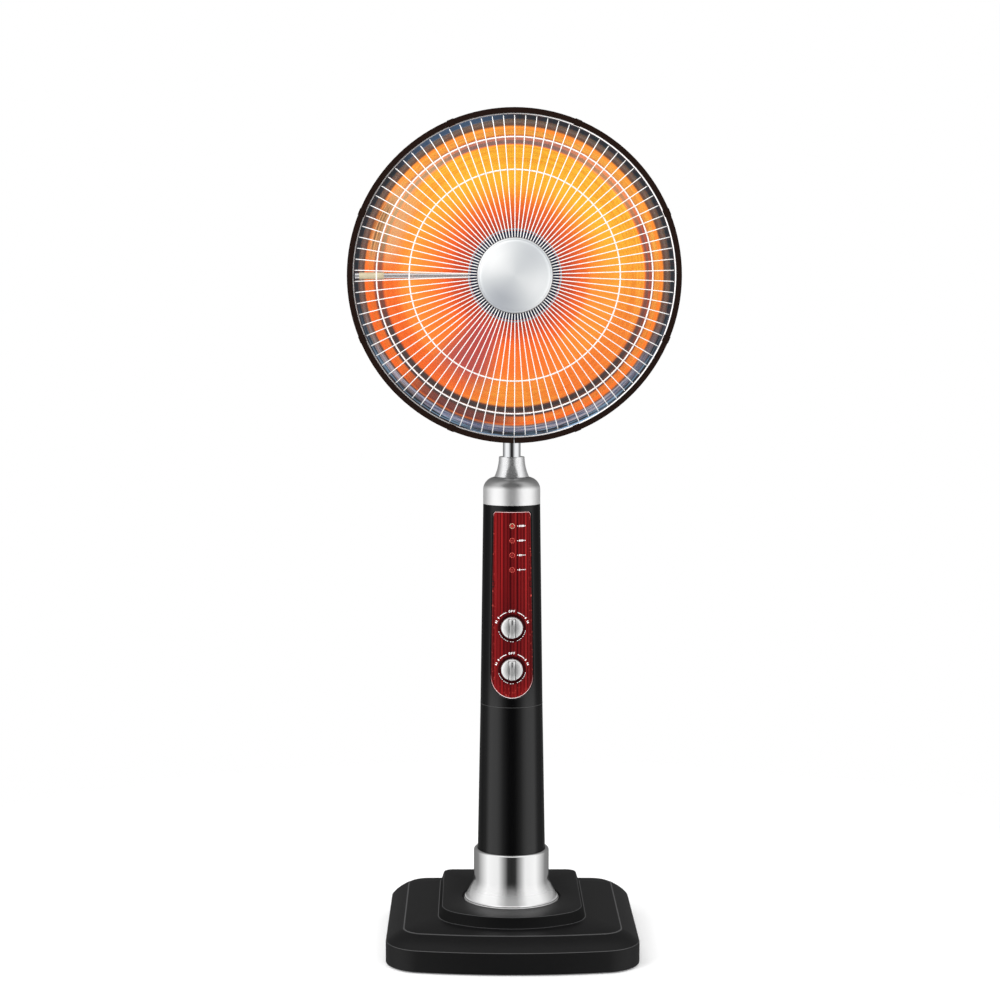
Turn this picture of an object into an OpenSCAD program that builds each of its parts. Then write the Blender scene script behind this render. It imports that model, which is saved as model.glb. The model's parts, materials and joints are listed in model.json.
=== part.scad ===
// Parabolic dish heater on a telescopic stand.
// Frame: +Z up, front towards -Y, origin on the floor in the middle of the footprint.

/* [Placement] */
// Distance of the column's axis behind the middle of the footprint
column_back = 26; // [0:1:60]

/* [Base] */
// Width of the base from side to side
base_w = 308; // [290:1:330]
// Depth of the base from front to back
base_d = 308; // [290:1:330]
// Radius of the base's corners, seen from above
base_corner_r = 48; // [38:1:56]
// Radius of the gentle bow of the base's front edge
base_bow_r = 650; // [500:10:1200]
// Height of the shell's lower rim above the floor
base_rim_z = 1; // [0.6:0.1:1.6]
// Height at which the upright side meets the sloping shoulder
base_side_z = 26.5; // [22:0.5:29]
// Height of the base's top face
base_top_z = 42; // [40:0.5:48]
// How far the sloping shoulder comes in
base_shoulder = 22; // [16:0.5:28]
// Wall of the moulded base shell
base_wall = 3; // [2.5:0.1:4]
// Width of the raised tier's top
tier_w = 172; // [160:1:184]
// Reach of the tier in front of the column's axis
tier_front = 99; // [90:1:106]
// Reach of the tier behind the column's axis
tier_back = 126; // [115:1:128]
// Height of the tier above the base's top face
tier_h = 13; // [10:0.5:16]
// Spread of the tier's drafted side from top to foot
tier_draft = 4; // [1:0.5:5]
// Radius of the tier's front corners, seen from above
tier_corner_r = 42; // [34:1:48]
// Radius of the bow of the tier's front edge
tier_bow_r = 120; // [105:1:180]
// Radius of the tier's back corners, seen from above
tier_back_r = 12; // [8:1:18]
// Diameter of the round recess that takes the collar
recess_d = 124; // [121:0.5:130]
// Depth of the round recess
recess_depth = 3.5; // [2:0.5:5]
// Opening in the recess for the guide tube and the wiring
wire_hole_d = 60; // [44:1:66]

/* [Base fittings] */
// Thickness of the steel base plate
plate_t = 1.5; // [1:0.1:2]
// Diameter of a rubber foot
foot_d = 26; // [20:1:30]
// Height of a rubber foot
foot_h = 5; // [4.5:0.1:6]
// Distance of the feet from the column's axis, both ways
foot_pitch = 112; // [100:1:116]
// Thickness of the cast ballast block
ballast_h = 12; // [8:0.5:16]
// Width of the ballast block
ballast_w = 216; // [190:1:224]
// Depth of the ballast block
ballast_d = 170; // [150:1:176]
// Diameter of the steel flange under the guide tube
flange_d = 90; // [76:1:96]
// Thickness of the steel flange
flange_t = 3; // [2:0.5:4]
// Bore of the cord grommet
cord_bore = 6.6; // [5:0.2:8]
// Diameter of the tip-over plunger
plunger_d = 8; // [6:0.5:10]
// Travel of the tip-over plunger below the floor line
plunger_travel = 6; // [4:0.5:8]

/* [Column] */
// Diameter of the chrome collar's straight part
collar_d = 94; // [92:0.5:98]
// Diameter of the collar's foot flange
collar_flange_d = 119; // [112:0.5:120]
// Height of the collar's top above the floor
collar_top_z = 117; // [105:1:125]
// Height of the collar's flared foot above its flange
collar_flare_h = 25.5; // [18:0.5:32]
// Wall of the pressed collar
collar_wall = 2.2; // [1.5:0.1:3]
// Column diameter where it leaves the collar
column_d = 84.4; // [82:0.2:86]
// Height of the seam between the column and the control housing
column_top_z = 300; // [290:1:310]
// Diameter of the column at that seam
seam_d = 77.6; // [76:0.2:80]
// Wall of the column and of the control housing
column_wall = 2.5; // [2:0.1:3.2]
// Height of the control housing
housing_h = 249.4; // [246:0.2:262]
// Diameter of the housing's top
housing_top_d = 71; // [69:0.2:73]

/* [Control panel] */
// Height of the panel's rounded foot above the seam
panel_z = 12; // [10:0.5:18]
// Distance of the panel's top below the housing's top
panel_top_in = 7.4; // [5.4:0.2:13.4]
// Width of the panel at its rounded foot
panel_w = 52; // [50:0.5:56]
// Width of the panel's top
panel_top_w = 45.5; // [40:0.5:50]
// Thickness of the panel
panel_t = 3; // [2.4:0.1:3.6]
// How far the panel stands out of the housing
panel_proud = 0.8; // [0.4:0.1:1.2]
// Number of upright ribs on the panel
panel_ribs = 13; // [9:2:17]
// Height of the swing knob's axis above the panel's foot
swing_knob_h = 35; // [32:0.5:38]
// Distance from the swing knob up to the heat knob
knob_pitch = 52; // [46:0.5:60]
// Diameter of the round wells around the knobs
well_d = 33; // [31:0.5:36]
// Depth of the wells at the middle
well_depth = 4.5; // [4:0.1:5]
// Distance of the top indicator lamp below the panel's top
lamp_in = 17; // [12:0.5:22]
// Distance between indicator lamps
lamp_pitch = 18; // [14:0.5:19]
// Number of indicator lamps
lamps = 4; // [2:1:4]
// Diameter of an indicator lamp
lamp_d = 3.8; // [3:0.1:5]

/* [Knobs] */
// Diameter of a knob
knob_d = 27; // [24:0.5:29]
// Height of a knob's round skirt
skirt_h = 6.5; // [5:0.5:8]
// Height of the grip bar above the skirt
grip_h = 7; // [5:0.5:9]
// Width of the grip bar
grip_w = 8; // [5:0.5:9]
// Diameter of the switch shafts
shaft_d = 6; // [5:0.5:6.5]

/* [Telescopic tube] */
// Outer diameter of the fixed guide tube
guide_d = 28; // [26:0.5:28]
// Wall of the guide tube
guide_wall = 1.5; // [1.2:0.1:1.8]
// Outer diameter of the sliding chrome tube
tube_d = 22; // [20:0.2:22.4]
// Wall of the sliding tube
tube_wall = 1.2; // [1:0.1:1.6]
// Top of the sliding tube above the floor, at its lowest
tube_top_z = 730; // [724:1:736]
// Rise of the sliding tube
tube_rise = 150; // [100:5:170]
// Length of the nylon bush at the tube's foot
bush_len = 20; // [14:1:26]
// Diameter of the dome cap's top
dome_top_d = 43; // [41:0.5:46]
// Height of the dome cap
dome_h = 33.3; // [31:0.1:36]
// Height of the dome cap's straight skirt
dome_skirt = 17.6; // [14:0.2:19]
// Diameter of the lock nut's top
nut_top_d = 31.9; // [30:0.1:34]
// Height of the lock nut
nut_h = 25; // [23:0.5:30]

/* [Swing drive] */
// Diameter of the swing box
box_d = 64; // [62:0.5:70]
// Height of the box's lower cup
cup_h = 23; // [22:0.5:26]
// Height of the box's cover
cover_h = 32; // [31:0.5:34]
// Wall of the box
box_wall = 2.5; // [2:0.1:3]
// Diameter of the motor
motor_d = 44; // [40:0.5:45]
// Height of the motor
motor_h = 20; // [18:0.5:21]
// Distance of the motor's shaft from the tube's axis
crank_offset = 14; // [13:0.1:14.5]
// Half swing of the head, in degrees
swing_angle = 35; // [25:1:36]
// Diameter of the crank pin
pin_d = 4; // [3:0.2:4.4]
// Side clearance of the crank pin in the lever's slot
slot_gap = 0.75; // [0.7:0.05:1]
// Diameter of the hollow swivel shaft
swivel_d = 12; // [11:0.2:13]

/* [Tilt joint] */
// Height of the tilt axis above the floor
head_z = 829; // [826:1:836]
// Width of the head mount's tongue
tongue_w = 20; // [16:0.5:22]
// Thickness of a bracket ear
ear_t = 3; // [2.5:0.1:4]
// Radius of the ears and of the tongue's end
ear_r = 12; // [10:0.5:13]
// Diameter of the tilt bolt
tilt_bolt_d = 6; // [5:0.5:8]

/* [Dish] */
// Distance of the dish's vertex in front of the tilt axis
dish_vertex = 70; // [66:0.5:74]
// Focal length of the paraboloid
dish_focus = 105; // [100:1:112]
// Radius of the inner bowl
bowl_r = 154; // [148:1:156]
// Width of the raised bead around the bowl
bead_w = 8; // [7:0.5:10]
// Width of the outer band around the bead
band_w = 9; // [8:0.5:11]
// Width of the steep edge around the band
edge_w = 10; // [9:0.5:11]
// Height of the steep edge, from the band up to the flange
edge_h = 22.4; // [20:0.2:24]
// Width of the flange around the steep edge
flange_w = 9; // [8:0.5:10]
// Thickness of the reflector's sheet
dish_t = 0.8; // [0.6:0.1:1]
// Space between the reflector and the rear shell
shell_gap = 12; // [10:0.5:14]
// Number of vent slots in the rear shell
vents = 24; // [16:2:36]

/* [Rim] */
// Space between the dish's flange and the rim band
rim_gap = 2.4; // [2:0.1:4]
// Width of the rim band's front lip
rim_lip = 6.5; // [5:0.5:7]
// Sheet thickness of the rim band
rim_t = 1.6; // [1.2:0.1:1.8]
// Number of clips on the rim band
clips = 8; // [4:2:12]

/* [Guard] */
// Number of radial wires
spokes = 90; // [60:2:100]
// Diameter of a radial wire
spoke_d = 1.9; // [1.6:0.1:2.2]
// Diameter of a ring wire
ring_d = 2.6; // [2.2:0.1:3]
// Radius of the guard's gentle dome
dome_r = 620; // [560:10:700]
// Radius of the wires' bend back to the rim
bend_r = 18; // [16:0.5:18.5]
// Radius of the hub ring
hub_ring_r = 52.7; // [50:0.1:56]
// Distance of the outer guard ring from the start of that bend
outer_ring_in = 13; // [8:1:20]
// Distance between the outer and the inner guard ring
ring_pitch = 38; // [30:1:46]
// Diameter of the hub cap
hub_cap_d = 87; // [80:0.5:94]
// Crown of the hub cap
hub_cap_crown = 4; // [3:0.2:6]

/* [Heating element] */
// Radius of the ceramic core
core_r = 8; // [7:0.2:9]
// Number of turns of the heating coil
coil_turns = 22; // [16:1:24]
// Diameter of the coil's wire
coil_wire = 1.6; // [1.2:0.1:2]
// Outer diameter of the conduit tube across the dish
conduit_d = 7; // [6:0.2:8]

/* [Hidden] */
$fn = 96;

// Clearances
run_gap = 0.05;        // radial play of a running or sliding fit
seat_gap = 0.3;        // play between pieces that move past each other
guard_gap = 0.5;       // play between the guard's rim ring and the dish's flange
lap = 0.01;            // overlap of two pieces of one solid

// Heights up the stand
plate_z = foot_h;
inside_z = plate_z + plate_t;
recess_z = base_top_z + tier_h - recess_depth;
housing_top_z = column_top_z + housing_h;
dome_top_z = housing_top_z + dome_h;
nut_z = dome_top_z + seat_gap;
nut_top_z = nut_z + nut_h;
nut_over_guide = 12;
guide_top_z = nut_top_z - nut_over_guide;
panel_foot_z = column_top_z + panel_z;
panel_top_z = housing_top_z - panel_top_in;
swing_knob_z = panel_foot_z + swing_knob_h;
heat_knob_z = swing_knob_z + knob_pitch;
collet_h = 26;
collet_z = guide_top_z - collet_h;
bush_stop = 20;
tube_foot_z = collet_z - tube_rise - bush_len - bush_stop;
tube_len = tube_top_z - tube_foot_z;
cup_lap = 5;
cup_z = tube_top_z - cup_lap;
motor_lift = 7;
motor_z = cup_z + motor_lift;
cup_top_z = cup_z + cup_h;
cover_top_z = cup_top_z + cover_h;

// Taper of the column and of the housing
function column_r(z) =
  (column_d + (seam_d - column_d) * (z - collar_top_z) / (column_top_z - collar_top_z)) / 2;
function housing_r(z) = (seam_d + (housing_top_d - seam_d) * (z - column_top_z) / housing_h) / 2;

// Depth of the paraboloid in front of the tilt axis
function dish_u(r) = dish_vertex + r * r / (4 * dish_focus);
// Drop of the guard's dome from its top, and its depth in front of the tilt axis
function dome_drop(r) = dome_r - sqrt(dome_r * dome_r - r * r);
function guard_u(r) = dome_u - dome_drop(r);
// Radius of the concave arc that ends a flare of width w and height h upright
function flare_r(w, h) = (w * w + h * h) / (2 * w);

// Radii and depths of the head, from the dish's bowl out to the rim band and the guard
bead_r = bowl_r + bead_w;
band_r = bead_r + band_w;
edge_r = band_r + edge_w;
dish_r = edge_r + flange_w;
flange_u = dish_u(band_r) + edge_h;
rim_r = dish_r + rim_gap + rim_t;
bend_start_r = dish_r - bend_r;
bend_from_a = asin(bend_start_r / dome_r);
bend_to_a = 86;
outer_ring_r = bend_start_r - outer_ring_in;
inner_ring_r = outer_ring_r - ring_pitch;
bend_drop = bend_r * (cos(bend_from_a) - cos(bend_to_a));
spoke_end_u = flange_u + dish_t + guard_gap + ring_d / 2;
dome_u = spoke_end_u + bend_drop + dome_drop(bend_start_r);

module at_column() translate([0, column_back, 0]) children();
// In the head's frame +Z runs forward along the dish's axis and +Y runs up.
module at_head() translate([0, column_back, head_z]) rotate([90, 0, 0]) children();
module at_each(points) for (p = points) translate(p) children();
// A rod along -Y that starts at y and runs forward.
module rod_y(r, y, length) translate([0, y, 0]) rotate([90, 0, 0]) cylinder(r = r, h = length);
module ring(r_in, r_out, h) difference() {
  cylinder(r = r_out, h = h);
  translate([0, 0, -1]) cylinder(r = r_in, h = h + 2);
}

// Closed solid through rings of equally many points, each ring anticlockwise seen from its far end
module loft(rings) {
  n = len(rings[0]);
  last = (len(rings) - 1) * n;
  polyhedron(
    points = [for (r = rings) each r],
    faces = [
      [for (k = [0:n - 1]) k],
      for (i = [0:len(rings) - 2], k = [0:n - 1])
        let (a = i * n + k, b = i * n + (k + 1) % n)
          each [[a, a + n, b + n], [a, b + n, b]],
      [for (k = [n - 1:-1:0]) last + k],
    ]);
}
function at_level(points, z) = [for (p = points) [p[0], p[1], z]];

// ---------- Base ----------

boss_x = base_w / 2 - 29;
boss_y = 70;
boss_r = 5;
boss_screw_r = 1.55;
boss_screw_len = 16;
flange_screw_r = 2.5;
screw_play = 0.25;
tip_y = 98;
plunger_in = plunger_travel + 9;   // length of the plunger inside its switch
gland_r = 8;
gland_z = inside_z + gland_r;
column_spigot_r = column_r(recess_z) - column_wall - seat_gap;
boss_places = [for (x = [-1, 1], y = [-1, 1]) [x * boss_x, y * boss_y, 0]];
foot_places = [for (x = [-1, 1], y = [-1, 1]) [x * foot_pitch, y * foot_pitch, 0]];
flange_bolt_circle_r = flange_d / 2 - 10;
flange_screw_places = [for (a = [45:90:315])
  flange_bolt_circle_r * [cos(a), sin(a), 0]];

function arc(x, y, r, from, to, steps) = [for (i = [0:steps]) let (a = from + (to - from) * i / steps)
  [x + r * cos(a), y + r * sin(a)]];

// Rounded plan with a bowed front: every outline is the same one drawn in by inset.
function bowed_plan(w, front, back, front_r, back_r, bow_r, inset) = let (
    bow_y = bow_r - front,
    corner_x = w / 2 - front_r,
    bow_a = asin(corner_x / (bow_r - front_r)),
    corner_y = bow_y - (bow_r - front_r) * cos(bow_a),
    r = front_r - inset,
    back_x = w / 2 - back_r,
    back_y = back - back_r)
  concat(
    arc(corner_x, corner_y, r, bow_a - 90, 0, 12),
    arc(back_x, back_y, back_r - inset, 0, 90, 12),
    arc(-back_x, back_y, back_r - inset, 90, 180, 12),
    arc(-corner_x, corner_y, r, 180, 270 - bow_a, 12),
    arc(0, bow_y, bow_r - inset, 270 - bow_a * 0.8, 270 + bow_a * 0.8, 8));

function base_points(inset) = bowed_plan(
  base_w, base_d / 2, base_d / 2, base_corner_r, base_corner_r, base_bow_r, inset);
function tier_points(inset) = bowed_plan(
  tier_w, tier_front, tier_back, tier_corner_r, tier_back_r, tier_bow_r, inset);

// Lofts through one outline, each level given as [inset, z] from the foot up
module base_stack(levels) loft([for (p = levels) at_level(base_points(p[0]), p[1])]);
module tier_stack(levels) loft([for (p = levels) at_level(tier_points(p[0]), p[1])]);

// Middle of the shoulder, which swells a little out of the straight slope
shoulder_swell = 1.5;
shoulder_middle = [
  base_shoulder / 2 - 0.6 * shoulder_swell, (base_side_z + base_top_z) / 2 + 0.8 * shoulder_swell];

module base_shell() color("#1c1c1e") at_column() {
  difference() {
    union() {
      base_stack([
        [1, base_rim_z], [0, base_rim_z + 2],
        [0, base_side_z - 1], [0.7, base_side_z + 1], shoulder_middle,
        [base_shoulder - 1, base_top_z - 1], [base_shoulder + 2, base_top_z],
      ]);
      tier_stack([
        [-tier_draft, base_top_z - 1],
        [-0.8, base_top_z + tier_h - 1.6], [1, base_top_z + tier_h],
      ]);
    }
    base_stack([
      [base_wall, base_rim_z - 1], [base_wall, base_side_z - 1],
      [base_shoulder + base_wall, base_top_z - base_wall],
    ]);
    tier_stack([
      [base_wall, base_top_z - base_wall - 1],
      [base_wall + 1, recess_z - base_wall],
    ]);
    translate([0, 0, recess_z]) cylinder(d = recess_d, h = tier_h);
    translate([0, 0, recess_z - base_wall - 1]) cylinder(d = wire_hole_d, h = tier_h);
    translate([0, base_d / 2 + 1, gland_z]) rod_y(gland_r - 1.5 + run_gap, 0, base_wall + 2);
  }
  // Locating ring for the column
  translate([0, 0, recess_z - lap]) ring(column_spigot_r - 3, column_spigot_r, 6);
  // Screw bosses
  at_each(boss_places) translate([0, 0, inside_z])
    ring(boss_screw_r + run_gap, boss_r, base_top_z - base_wall - inside_z + lap);
}

module base_plate() color("#8a8d90") at_column() difference() {
  translate([0, 0, plate_z]) linear_extrude(plate_t) polygon(base_points(base_wall + 1));
  at_each(boss_places) cylinder(r = boss_screw_r + screw_play, h = inside_z + 1);
  at_each(flange_screw_places) cylinder(r = flange_screw_r + screw_play, h = inside_z + 1);
  translate([0, tip_y, 0]) cylinder(d = plunger_d + 1, h = inside_z + 1);
}

module ballast_block() color("#4a4a4c") at_column() translate([0, 0, inside_z]) difference() {
  translate([-ballast_w / 2, -ballast_d / 2 - 10, 0]) cube([ballast_w, ballast_d, ballast_h]);
  translate([0, 0, -1]) cylinder(d = flange_d + 4, h = ballast_h + 2);
}

module rubber_feet() color("#111111") at_column() at_each(foot_places) {
  cylinder(d1 = foot_d - 3, d2 = foot_d, h = foot_h - 2);
  translate([0, 0, foot_h - 2 - lap]) cylinder(d = foot_d, h = 2 + lap);
}

// Pan-head screw along +Z with its head's seat at z = 0
function head_r(r) = 2 * r;
function head_h(r) = 1.4 * r;
module screw(r, length) {
  translate([0, 0, -head_h(r)]) cylinder(r = head_r(r), h = head_h(r));
  translate([0, 0, -lap]) cylinder(r = r, h = length + lap);
}

module base_screws() color("#b9bcc0") at_column() translate([0, 0, plate_z]) {
  at_each(boss_places) screw(boss_screw_r, boss_screw_len);
  at_each(flange_screw_places) screw(flange_screw_r, plate_t + flange_t);
}

module cord_grommet() color("#151515") at_column() translate([0, base_d / 2, gland_z]) difference() {
  union() {
    rod_y(gland_r, 2.5, 2.5 - run_gap);
    rod_y(gland_r - 1.5, 1, base_wall + 3);
    rod_y(gland_r - 0.4, -base_wall - run_gap, 2);
  }
  rod_y(cord_bore / 2, 4, base_wall + 8);
}

module tip_switch_body() color("#2b2b2e") at_column() translate([0, tip_y, inside_z]) difference() {
  translate([-11, -8, 0]) cube([22, 16, plunger_in + 9]);
  translate([0, 0, -1]) cylinder(d = plunger_d + 2 * run_gap, h = plunger_in + 4);
}

module tip_plunger() color("#c9c9c4") at_column() translate([0, tip_y, 0]) {
  translate([0, 0, plunger_d / 2]) cylinder(d = plunger_d, h = inside_z + plunger_in - plunger_d / 2);
  intersection() {
    translate([0, 0, plunger_d / 2]) sphere(d = plunger_d);
    translate([0, 0, 0.2]) cylinder(d = plunger_d, h = plunger_d / 2 - 0.2 + lap);
  }
  // flat tip that meets the floor
  cylinder(d = plunger_d / 2.2, h = 1);
}

// ---------- Column ----------

collar_flange_h = 3;
lip_r = 3.5;
collar_play = 0.35;
flange_socket_h = 24;
flange_socket_wall = 4.5;

// Straight part and concave flared foot, drawn in by shrink
module collar_tube(shrink, foot_z, top_z) {
  flare_w = (collar_flange_d - collar_d) / 2;
  flare_z = recess_z + collar_flange_h;
  arc = flare_r(flare_w, collar_flare_h);
  rotate_extrude() {
    translate([0, foot_z]) square([collar_d / 2 - shrink, top_z - foot_z]);
    translate([0, foot_z]) square([collar_flange_d / 2 - shrink, flare_z - foot_z]);
    difference() {
      translate([0, flare_z - lap]) square([collar_flange_d / 2 - shrink, collar_flare_h]);
      // the arc runs into the straight part at a small angle
      translate([collar_d / 2 + arc - 0.05, flare_z + collar_flare_h]) circle(r = arc + shrink, $fn = 180);
    }
  }
}

module base_collar() color("#d5d7da") at_column() difference() {
  union() {
    collar_tube(0, recess_z, collar_top_z - lip_r);
    rotate_extrude() {
      translate([0, collar_top_z - lip_r - lap]) square([collar_d / 2 - lip_r, lip_r + lap]);
      translate([collar_d / 2 - lip_r, collar_top_z - lip_r]) circle(r = lip_r);
    }
  }
  collar_tube(collar_wall, recess_z - 1, collar_top_z - lip_r - 1);
  translate([0, 0, recess_z]) cylinder(r = column_r(collar_top_z) + collar_play, h = collar_top_z);
}

module lower_column() color("#121214") at_column() difference() {
  translate([0, 0, recess_z])
    cylinder(r1 = column_r(recess_z), r2 = column_r(column_top_z), h = column_top_z - recess_z);
  translate([0, 0, recess_z - lap]) cylinder(
    r1 = column_r(recess_z) - column_wall, r2 = column_r(column_top_z) - column_wall,
    h = column_top_z - recess_z + 2 * lap);
}

module guide_tube() color("#9a9da1") at_column() translate([0, 0, inside_z + flange_t])
  ring(guide_d / 2 - guide_wall, guide_d / 2, guide_top_z - inside_z - flange_t);

module tube_flange() color("#85888c") at_column() difference() {
  union() {
    translate([0, 0, inside_z]) cylinder(d = flange_d, h = flange_t);
    translate([0, 0, inside_z]) cylinder(r = guide_d / 2 + flange_socket_wall, h = flange_socket_h);
  }
  translate([0, 0, inside_z + flange_t]) cylinder(r = guide_d / 2 + run_gap, h = flange_socket_h);
  translate([0, 0, inside_z - 1]) cylinder(r = guide_d / 2 - guide_wall - 1.5, h = flange_socket_h);
  at_each(flange_screw_places) translate([0, 0, inside_z - 1])
    cylinder(r = flange_screw_r + run_gap, h = flange_t + 2);
}

// ---------- Control housing ----------

seam = 0.15;
spigot_h = 15;
ledge_h = 3;
post_x = 27;
post_r = 4;
housing_screw_r = 1.5;
housing_screw_bite = 12;
post_z = [column_top_z + 30, housing_top_z - 22];
post_places = [for (x = [-1, 1], z = post_z) [x * post_x, 0, z]];
screw_seat_y = 14;
panel_side_a = asin(panel_w / seam_d);

// Solid of the housing's taper, grown by g
module housing_cone(g, extra = 0) translate([0, 0, column_top_z - extra]) cylinder(
  r1 = housing_r(column_top_z - extra) + g, r2 = housing_r(housing_top_z + extra) + g,
  h = housing_h + 2 * extra);

// Outline of the panel, grown by g, as a prism through the housing's front
module panel_prism(g) {
  foot_r = panel_w / 2;
  top = panel_top_z;
  chamfer = 2.5;
  translate([0, -seam_d / 4, 0]) rotate([90, 0, 0]) linear_extrude(seam_d) {
    translate([0, panel_foot_z + foot_r]) circle(r = foot_r + g);
    polygon([
      [-foot_r - g, panel_foot_z + foot_r], [foot_r + g, panel_foot_z + foot_r],
      [panel_top_w / 2 + g, top - chamfer], [panel_top_w / 2 - chamfer, top + g],
      [chamfer - panel_top_w / 2, top + g], [-panel_top_w / 2 - g, top - chamfer],
    ]);
  }
}

// One half of the housing with its screw posts; side is -1 for the front and 1 for the rear
module housing_half(side) difference() {
  union() {
    housing_cone(0);
    translate([0, 0, column_top_z - spigot_h])
      cylinder(r = seam_d / 2 - column_wall - seat_gap, h = spigot_h + lap);
  }
  difference() {
    union() {
      intersection() {
        housing_cone(-column_wall, 1);
        translate([0, 0, column_top_z + ledge_h]) cylinder(d = seam_d, h = housing_h);
      }
      translate([0, 0, column_top_z - spigot_h - 1])
        cylinder(r = seam_d / 2 - column_wall - seat_gap - 2, h = spigot_h + 2 + ledge_h);
    }
    at_each(post_places) rotate([side * 90, 0, 0]) translate([0, 0, -seam_d])
      cylinder(r = post_r, h = seam_d);
  }
  // the other half
  translate([-seam_d, side > 0 ? seam / 2 - seam_d : -seam / 2, column_top_z - spigot_h - 1])
    cube([2 * seam_d, seam_d, housing_h + spigot_h + 2]);
}

module housing_front() color("#121214") at_column() difference() {
  housing_half(-1);
  panel_prism(0.25);
  at_each(post_places) rod_y(housing_screw_r + run_gap, 1, housing_screw_bite + 6);
}

module housing_rear() color("#121214") at_column() difference() {
  housing_half(1);
  at_each(post_places) {
    rod_y(housing_screw_r + screw_play, seam_d / 2, seam_d / 2 + 1);
    rod_y(head_r(housing_screw_r) + screw_play, seam_d / 2 + 1, seam_d / 2 + 1 - screw_seat_y);
  }
}

module housing_screws() color("#a9acb0") at_column() at_each(post_places)
  translate([0, screw_seat_y, 0]) rotate([90, 0, 0])
    screw(housing_screw_r, screw_seat_y + housing_screw_bite);

// ---------- Control panel ----------

knob_places = [[0, 0, swing_knob_z], [0, 0, heat_knob_z]];
switch_w = 26;
switch_t = 14;
well_floor = 1.5;
rib_step = 2 * panel_side_a / panel_ribs;
groove_r = 0.8;
board_y = housing_r(housing_top_z) - column_wall - 2.2;
board_t = 1.6;
board_w = 18;
board_end = 13;
board_post_in = 4.5;
lamp_play = 0.1;
board_h = (lamps - 1) * lamp_pitch + 2 * board_end;
board_foot_z = panel_top_z - lamp_in + board_end - board_h;
lamp_places = [for (i = [0:lamps - 1]) [0, 0, board_foot_z + board_end + i * lamp_pitch]];
board_posts = [for (z = [board_post_in, board_h - board_post_in]) [0, 0, board_foot_z + z]];
taper_a = atan((seam_d - housing_top_d) / 2 / housing_h);

// Distance of a well's floor in front of the column's axis
function well_y(z) = housing_r(z) + panel_proud - well_depth;

module control_panel() color("#8c1018") at_column() difference() {
  union() {
    intersection() {
      difference() {
        housing_cone(panel_proud);
        housing_cone(panel_proud - panel_t, 1);
      }
      panel_prism(0);
    }
    for (p = knob_places) translate(p) intersection() {
      rod_y(well_d / 2 + 1.6, -well_y(p[2]) + well_floor, panel_t + 1);
      translate(-p) housing_cone(panel_proud - panel_t / 2);
    }
    for (p = board_posts) translate(p) rod_y(2.2, -board_y, housing_r(p[2]) - board_y - 1);
  }
  for (i = [1:panel_ribs - 1])
    rotate([0, 0, i * rib_step - panel_side_a])
      translate([0, -housing_r(column_top_z) - panel_proud, column_top_z])
        rotate([-taper_a, 0, 0])
          cylinder(r = groove_r, h = housing_h, $fn = 24);
  for (p = knob_places) translate(p) {
    rod_y(well_d / 2, -well_y(p[2]), seam_d);
    rod_y(shaft_d / 2 + 2, -seam_d / 4, seam_d);
  }
  at_each(lamp_places) rod_y(lamp_d / 2 + lamp_play, -seam_d / 4, seam_d);
}

module lamp_board() color("#2f6b3a") at_column() translate([-board_w / 2, -board_y, board_foot_z])
  cube([board_w, board_t, board_h]);

module indicator_lamps() color("#ff5a30") at_column() for (p = lamp_places) translate(p) {
  lens_y = housing_r(p[2]) + panel_proud - 1;
  rod_y(lamp_d / 2, -board_y, lens_y - board_y);
  translate([0, -lens_y, 0]) intersection() {
    sphere(d = lamp_d);
    rod_y(lamp_d / 2, lap, lamp_d);
  }
}

module rotary_switch(z) translate([0, 0, z]) {
  face_y = well_y(z) - well_floor - seat_gap;
  difference() {
    union() {
      translate([-switch_w / 2, -face_y, -switch_w / 2]) cube([switch_w, switch_t, switch_w]);
      rod_y(shaft_d / 2 + 1.8, -face_y + 1, well_floor + seat_gap + 1);
      // terminals
      for (x = [-8, 0, 8]) translate([x - 2.4, -face_y + switch_t - lap, -switch_w / 2 + 3])
        cube([4.8, 3, 0.8]);
    }
    rod_y(shaft_d / 2 + run_gap, -face_y + switch_t - 3, switch_t + 6);
  }
}
module heat_switch() color("#3a3a3d") at_column() rotary_switch(heat_knob_z);
module swing_switch() color("#3a3a3d") at_column() rotary_switch(swing_knob_z);

module switch_shaft(z) translate([0, 0, z]) {
  back_y = well_y(z) - well_floor - seat_gap - switch_t + 4;
  rod_y(shaft_d / 2, -back_y, well_y(z) + skirt_h - back_y);
}
module heat_shaft() color("#c8cbcf") at_column() switch_shaft(heat_knob_z);
module swing_shaft() color("#c8cbcf") at_column() switch_shaft(swing_knob_z);

// Round skirt with a grip bar across it, its back face a seat gap off the well's floor
module knob(z) translate([0, -well_y(z) - seat_gap, z]) rotate([90, 0, 0]) difference() {
  union() {
    cylinder(d1 = knob_d, d2 = knob_d - 1.6, h = skirt_h);
    intersection() {
      cylinder(d = knob_d - 2.4, h = skirt_h + grip_h);
      rotate([90, 0, 0]) linear_extrude(knob_d, center = true) polygon([
        [-grip_w / 2, skirt_h - 1], [grip_w / 2, skirt_h - 1],
        [grip_w / 2 - 0.6, skirt_h + grip_h - 1.2], [grip_w / 2 - 1.8, skirt_h + grip_h],
        [1.8 - grip_w / 2, skirt_h + grip_h], [0.6 - grip_w / 2, skirt_h + grip_h - 1.2],
      ]);
    }
  }
  translate([0, 0, -1]) cylinder(d = shaft_d + 2 * run_gap, h = skirt_h + 1.2);
}
module heat_knob() color("#c4c7cb") at_column() knob(heat_knob_z);
module swing_knob() color("#c4c7cb") at_column() knob(swing_knob_z);

// ---------- Dome cap, lock nut and telescopic tube ----------

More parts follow.
